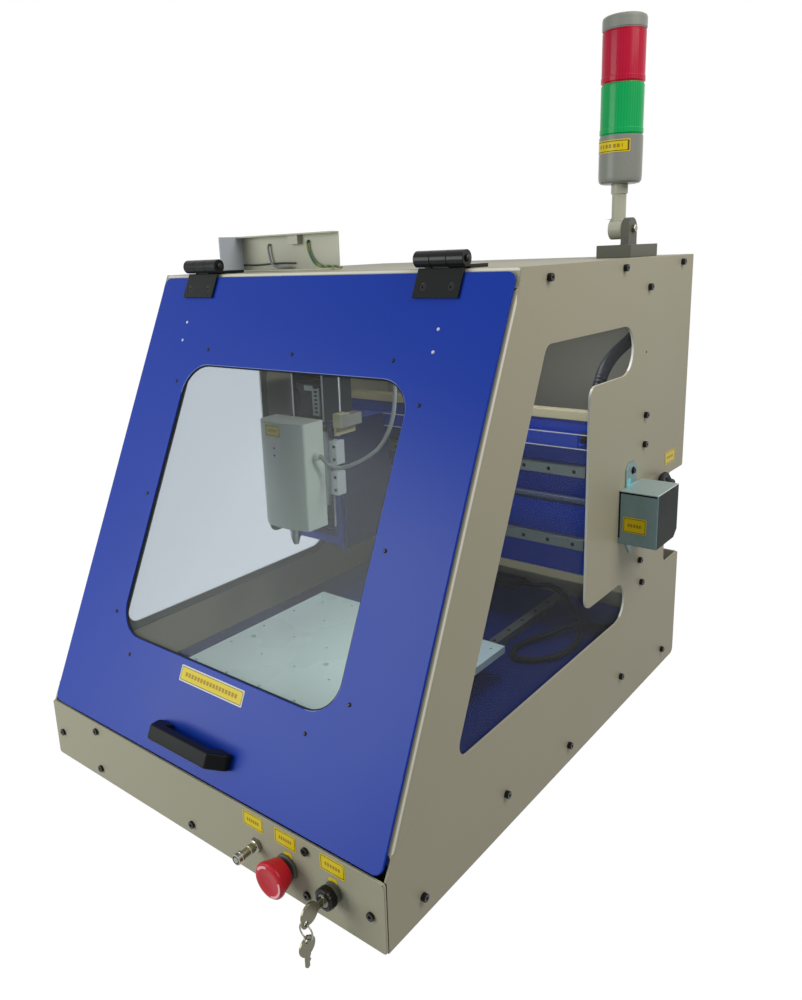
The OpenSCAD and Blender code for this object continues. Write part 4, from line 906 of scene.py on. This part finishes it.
plug = Piece("frontConnector")
plug.add(turned([(0, -29), (3.2, -29), (3.2, -26), (4.2, -26), (4.4, -29), (5.2, -29), (5.8, -28), (5.8, -24.5),
    (5.2, -24), (5.8, -23.4), (5.8, -21), (4.3, -20), (4.3, -12), (4.9, -11.4), (4.9, -6), (4.3, -5),
    (5.4, -4.6), (6.2, -4), (6, 0), (6, 20), (0, 20)], "y", (106, 0, 39), 0.2, 32), nickel)
plug.add(turned([(5.5, -4), (7.8, -4), (7.8, 0), (5.5, 0)], "y", (106, 0, 39), 0, 6), nickel)
plug.add(turned([(5.5, 6), (9, 6), (9, 9), (5.5, 9)], "y", (106, 0, 39), 0, 6), nickel)
plug.done("nickel")

stopBody = Piece("stopSwitchBody")
# its grey collar is the switch's own part and also stands for the shade at the button's foot: partly painted
# shade
stopBody.add(turned([(6.3, -3.5), (13, -3.5), (14, -2.6), (14, 0), (10.8, 0), (10.8, 6), (15, 6), (15, 10),
    (10.8, 10), (10.8, 31), (0, 31)], "y", (149, 0, 34), 0.4), footGrey)
stopBody.add(block((134, 30, 19), (164, 58, 49), 1.0, 3), blackPlastic)
for x in (140, 158):
    stopBody.add(turned([(0, 58.4), (2.6, 58.4), (2.6, 56), (0, 56)], "y", (x, 0, 42), 0, 16), nickel)
stopBody.done("black_plastic")
Piece("stopPlunger").add(turned([(0, -20), (6, -20), (6, 21), (0, 21)], "y", (149, 0, 34), 0.4),
    greyPlastic).done("grey_plastic", "stop_stem")

stopHead = Piece("stopHead")
stopHead.add(turned([(0, -25.9), (6, -26.2), (12, -26.8), (15.4, -27), (17.6, -26.4), (18.7, -25.2),
    (19, -23.6), (18.8, -21.6), (17.4, -18), (15.6, -11.4), (14.6, -8.2), (14, -8), (0, -8)], "y", (149, 0, 34),
    0.35, 56), redPlastic)


def paleRimBand(start, end, inner, outer, y):
    # a pale curved band near the rim of the button, from start to end in degrees
    steps = 14
    turn = [radians(start + (end - start) * i / steps) for i in range(steps + 1)]
    ring = [(outer * cos(t), outer * sin(t)) for t in turn] + [(inner * cos(t), inner * sin(t)) for t
        in reversed(turn)]
    return moved(prism(ring, y, y + 0.5, "y", 0), shift(149, 0, 34))


paleArcPaint = coat("paleRimArc", (236, 170, 176), 0.04, 0.35)
stopHead.add(paleRimBand(95, 150, 14.2, 16.6, -27.06), paleArcPaint)
stopHead.add(paleRimBand(-78, 20, 14.2, 16.6, -27.06), paleArcPaint)
stopHead.done("red_plastic", "stop_button")

keySwitch = Piece("keySwitchBody")
knob = turned([(7.2, -16), (9.6, -16), (10.9, -15.2), (11.4, -13.6), (11.4, -8.4), (10.9, -6.8), (9.6, -6),
    (7.2, -6)], "y", (211, 0, 38), 0, 96)
for vert in knob.verts:  # eight shallow flutes round the grip
    spoke = Vector((vert.co.x - 211, 0, vert.co.z - 38))
    if spoke.length > 9:
        vert.co -= spoke.normalized() * 0.45 * (1 - abs(sin(4 * atan2(spoke.z, spoke.x))))
keySwitch.add(knob, knobBlack)
keySwitch.add(turned([(7.1, -15.4), (8.2, -15.4), (8.2, -16), (7.1, -15.9)], "y", (211, 0, 38), 0),
    blackPlastic)
# its grey flange is the switch's own part and also stands for the shade at its foot on the panel: partly
# painted shade
keySwitch.add(turned([(8.4, -6.4), (8.5, -6.4), (8.5, -1.5), (10.5, -1.5), (10.6, 0), (9.4, 0), (9.4, 6),
    (12.8, 6), (12.8, 9), (9.4, 9), (9.4, 34), (0, 34), (0, 12), (8.4, 12)], "y", (211, 0, 38), 0.3), footGrey)
keySwitch.done("black_plastic")

bow = tint(fromCad("key", 0.5, 3), lambda way, spot, area: spot.y >= -16.2
    and hypot(spot.x - 211, spot.z - 38) >= 4.6)
Piece("switchKey").add(bow, darkNickel, blackPlastic).done("nickel", "switch_key", "key")
cadPiece("keyRing", nickel, "nickel", "hanging_key", 0)
cadPiece("spareKey", darkNickel, "nickel", "hanging_key", 0.35)

inlet = Piece("powerInlet").add(fromCad("power_inlet", 0.6, 3), blackPlastic)
for x, z in ((-180, 63), (-187, 57), (-173, 57)):
    inlet.add(block((x - 1, 704, z - 2), (x + 1, 718, z + 2), 0.3), nickel)
inlet.done("black_plastic")
print("controls ready")

# ---------- signal tower ----------
tower = dict(x=212, y=604, lenses=(("lensGreen", 750, greenLens, "green_lens"),
    ("lensRed", 811, redLens, "red_lens")))
mastFoot = (tower["x"], tower["y"], 0)
cadPiece("towerPole", polePaint, "grey_plastic", "tower_mast")
mastBody = Piece("towerBody").add(turned([(0, 692), (21, 692), (24, 692.6), (26.2, 695), (26.8, 698), (27, 703),
    (27, 748.6), (26.4, 749.2), (26.4, 750), (0, 750)], at=mastFoot, soft=0.5, steps=64), greyPlastic)
wrapHeights = (729, 730.2, 731.2, 734.4, 738.8, 741.8, 742.8, 744)
wrap = turned([(26.6, 729), *((27.32, z) for z in wrapHeights), (26.6, 744)], at=mastFoot, soft=0, steps=144)


def aroundTower(spot):
    return atan2(spot.y - tower["y"], spot.x - tower["x"]) * 180 / pi


def wrapTone(way, spot, area):
    # printed frame and dashes
    height, turn = spot.z, aroundTower(spot)
    if 734.4 < height < 738.8 and -135 < turn < -62 and turn % 11 < 7:
        return 2
    return 730.2 < height < 742.8 and (height < 731.2 or height > 741.8 or turn > -49) and turn < -46


bmesh.ops.delete(wrap, geom=[f for f in wrap.faces if not -150 <= aroundTower(f.calc_center_median()) <= -43],
    context="FACES")
tint(wrap, wrapTone)
bmesh.ops.holes_fill(wrap, edges=[e for e in wrap.edges if e.is_boundary], sides=16)
facesOut(wrap)
mastBody.add(wrap, yellowFilm, borderInk, amberFilm)
mastBody.done("grey_plastic", "tower_mast")
for name, low, look, slot in tower["lenses"]:
    Piece(name).add(turned([(0, low), (25.6, low), (25.6, low + 1.2), (26.9, low + 2), (26.9, low + 7.6),
        (26.4, low + 8.2), (26.4, low + 59), (25.6, low + 60), (25.6, low + 61), (0, low + 61)], at=mastFoot,
        soft=0.3, steps=72), look).done(slot, "tower_mast")
Piece("towerCap").add(turned([(0, 872), (26.2, 872), (26.2, 873), (27, 873.6), (27, 884.5), (26.4, 887),
    (24, 888.6), (16, 889), (0, 889)], at=mastFoot, soft=0.5, steps=64), greyPlastic).done("grey_plastic",
    "tower_mast")
print("tower ready")

# ---------- cables ----------
motorCable = [(288.5, 562.6, 290), (289.5, 574, 291), (287.5, 592, 305), (283.5, 610, 309), (280.5, 632, 306),
    (278.5, 652, 293), (274.5, 676, 284), (260.5, 688, 272), (247.5, 692, 250), (242.5, 694, 222)]
hosePath = [(225.5, 716.2, 505), (226.1, 680, 504.4), (234.5, 630, 502), (241.5, 580, 494), (244.5, 530, 483),
    (245.5, 500, 470), (245.5, 483, 450), (244.5, 476, 424), (243.5, 480, 398), (239.5, 497, 378),
    (230.5, 517, 369.5), (216.5, 529, 369), (204.5, 532, 369)]
deckPath = [(29.1, 684, 70.8), (62, 680, 75.8), (90, 668, 84.4), (118, 654, 84.6), (140, 634, 76.8),
    (165, 606, 70.8), (188, 570, 70.8), (201, 530, 70.8), (198, 488, 70.8), (178, 456, 70.8), (152, 446, 70.8),
    (138, 466, 70.8), (142, 500, 70.8), (158, 532, 73), (176, 555, 80.3), (194, 572, 81.2), (212, 596, 74.8),
    (230, 640, 70.8), (231, 716.7, 70.8)]
cordPiece("motorCable", motorCable, 8, blackRubber, "black_rubber", "black_cables")
cordPiece("cableHose", hosePath, 16, hoseSkin, "black_rubber", "black_cables", sides=18, step=1.25, ripple=0.9,
    pitch=4.6)
cordPiece("deckCable", deckPath, 9, hoseSkin, "black_rubber", "black_cables", lay="coiled", step=1.0,
    ripple=0.5)
low, high = conduitPath[:5], conduitPath[4:]
for name, points, body, bends in (("conduitLower", low, "z_head", ("x_carriage", low[1], low[4])),
        ("conduitUpper", high, "x_carriage", ("machine_body", high[2], high[-1]))):
    cordPiece(name, points, 6, wireGrey, "grey_wire", "conduit", body, head, step=1.2, ripple=0.35, pitch=2.4,
        bends=bends)
print("cables ready")

# ---------- floor, light and camera ----------
studio = dict(floor=0.37, ambient=0.31, showWhite=0.9, glow=1.1, key=31.0, side=15.4, inside=0.95)
floorPaint = Finish("paleFloor", Roughness=0.9, Base_Color=(studio["floor"],) * 3 + (1,),
    Specular_IOR_Level=0.1)
seen = (floorPaint.ray("Camera") + floorPaint.ray("Glossy")).math("MINIMUM", 1.0)
glow = floorPaint.node("Emission", {"Color": (1, 1, 1, 1), "Strength": studio["glow"]})
floorPaint.show(floorPaint.node("MixShader", {0: seen * studio["showWhite"], 1: floorPaint.plain, 2: glow}))
floorMesh, floorData = bmesh.new(), bpy.data.meshes.new("floor")
bmesh.ops.create_grid(floorMesh, x_segments=1, y_segments=1, size=14)
floorMesh.to_mesh(floorData)
floorMesh.free()
floorData.materials.append(floorPaint.material)
linked("floor", floorData)

world = bpy.context.scene.world = bpy.data.worlds.new("studio")
sky = NodeTree(world, "World")
plain = sky.node("Background", {"Color": (0.97, 0.985, 1, 1), "Strength": studio["ambient"]})
bright = sky.node("Background", {"Color": (1, 1, 1, 1), "Strength": 1.0})
seen = sky.ray("Camera").math("MAXIMUM", sky.ray("Glossy"))
sky.show(sky.node("MixShader", {0: seen, 1: plain, 2: bright}))


def softLamp(name, place, target, size, power, tone=(1, 1, 1)):
    data = bpy.data.lights.new(name, "AREA")
    data.shape, data.size, data.energy, data.color = "SQUARE", size, power, tone
    lamp = linked(name, data)
    lamp.location, lamp.rotation_mode = place, "QUATERNION"
    lamp.rotation_quaternion = (Vector(target) - Vector(place)).to_track_quat("-Z", "Y")


softLamp("keyLamp", (-1.1, -1.95, 0.75), (0, -0.2, 0.25), 1.35, studio["key"], (0.95, 1.0, 0.96))
softLamp("sideLamp", (1.25, 0.05, 1.5), (0.25, -0.02, 0.6), 1.0, studio["side"], (1.0, 0.97, 0.9))
softLamp("insideLamp", (0.16, 0.09, 0.59), (0.1, 0.05, 0.1), 0.12, studio["inside"])

cameraData = bpy.data.cameras.new("camera")
cameraData.lens, cameraData.sensor_width, cameraData.sensor_fit = 29.758, 36, "AUTO"
cameraData.shift_x, cameraData.shift_y = 0.0308, -0.0376
cameraData.clip_start, cameraData.clip_end = 0.05, 60
camera = bpy.context.scene.camera = linked("camera", cameraData)
right, down, ahead = ((0.7746981, 0.63110031, -0.03943667), (0.1250831, -0.21408145, -0.96877415),
    (-0.61983632, 0.74557463, -0.24478848))
camera.matrix_world = Matrix.Translation((0.669078, -0.832218, 0.639888)) @ Matrix(
    (right, [-c for c in down], [-c for c in ahead])).transposed().to_4x4()
bpy.context.scene.view_settings.view_transform = "Standard"

print("scene ready")
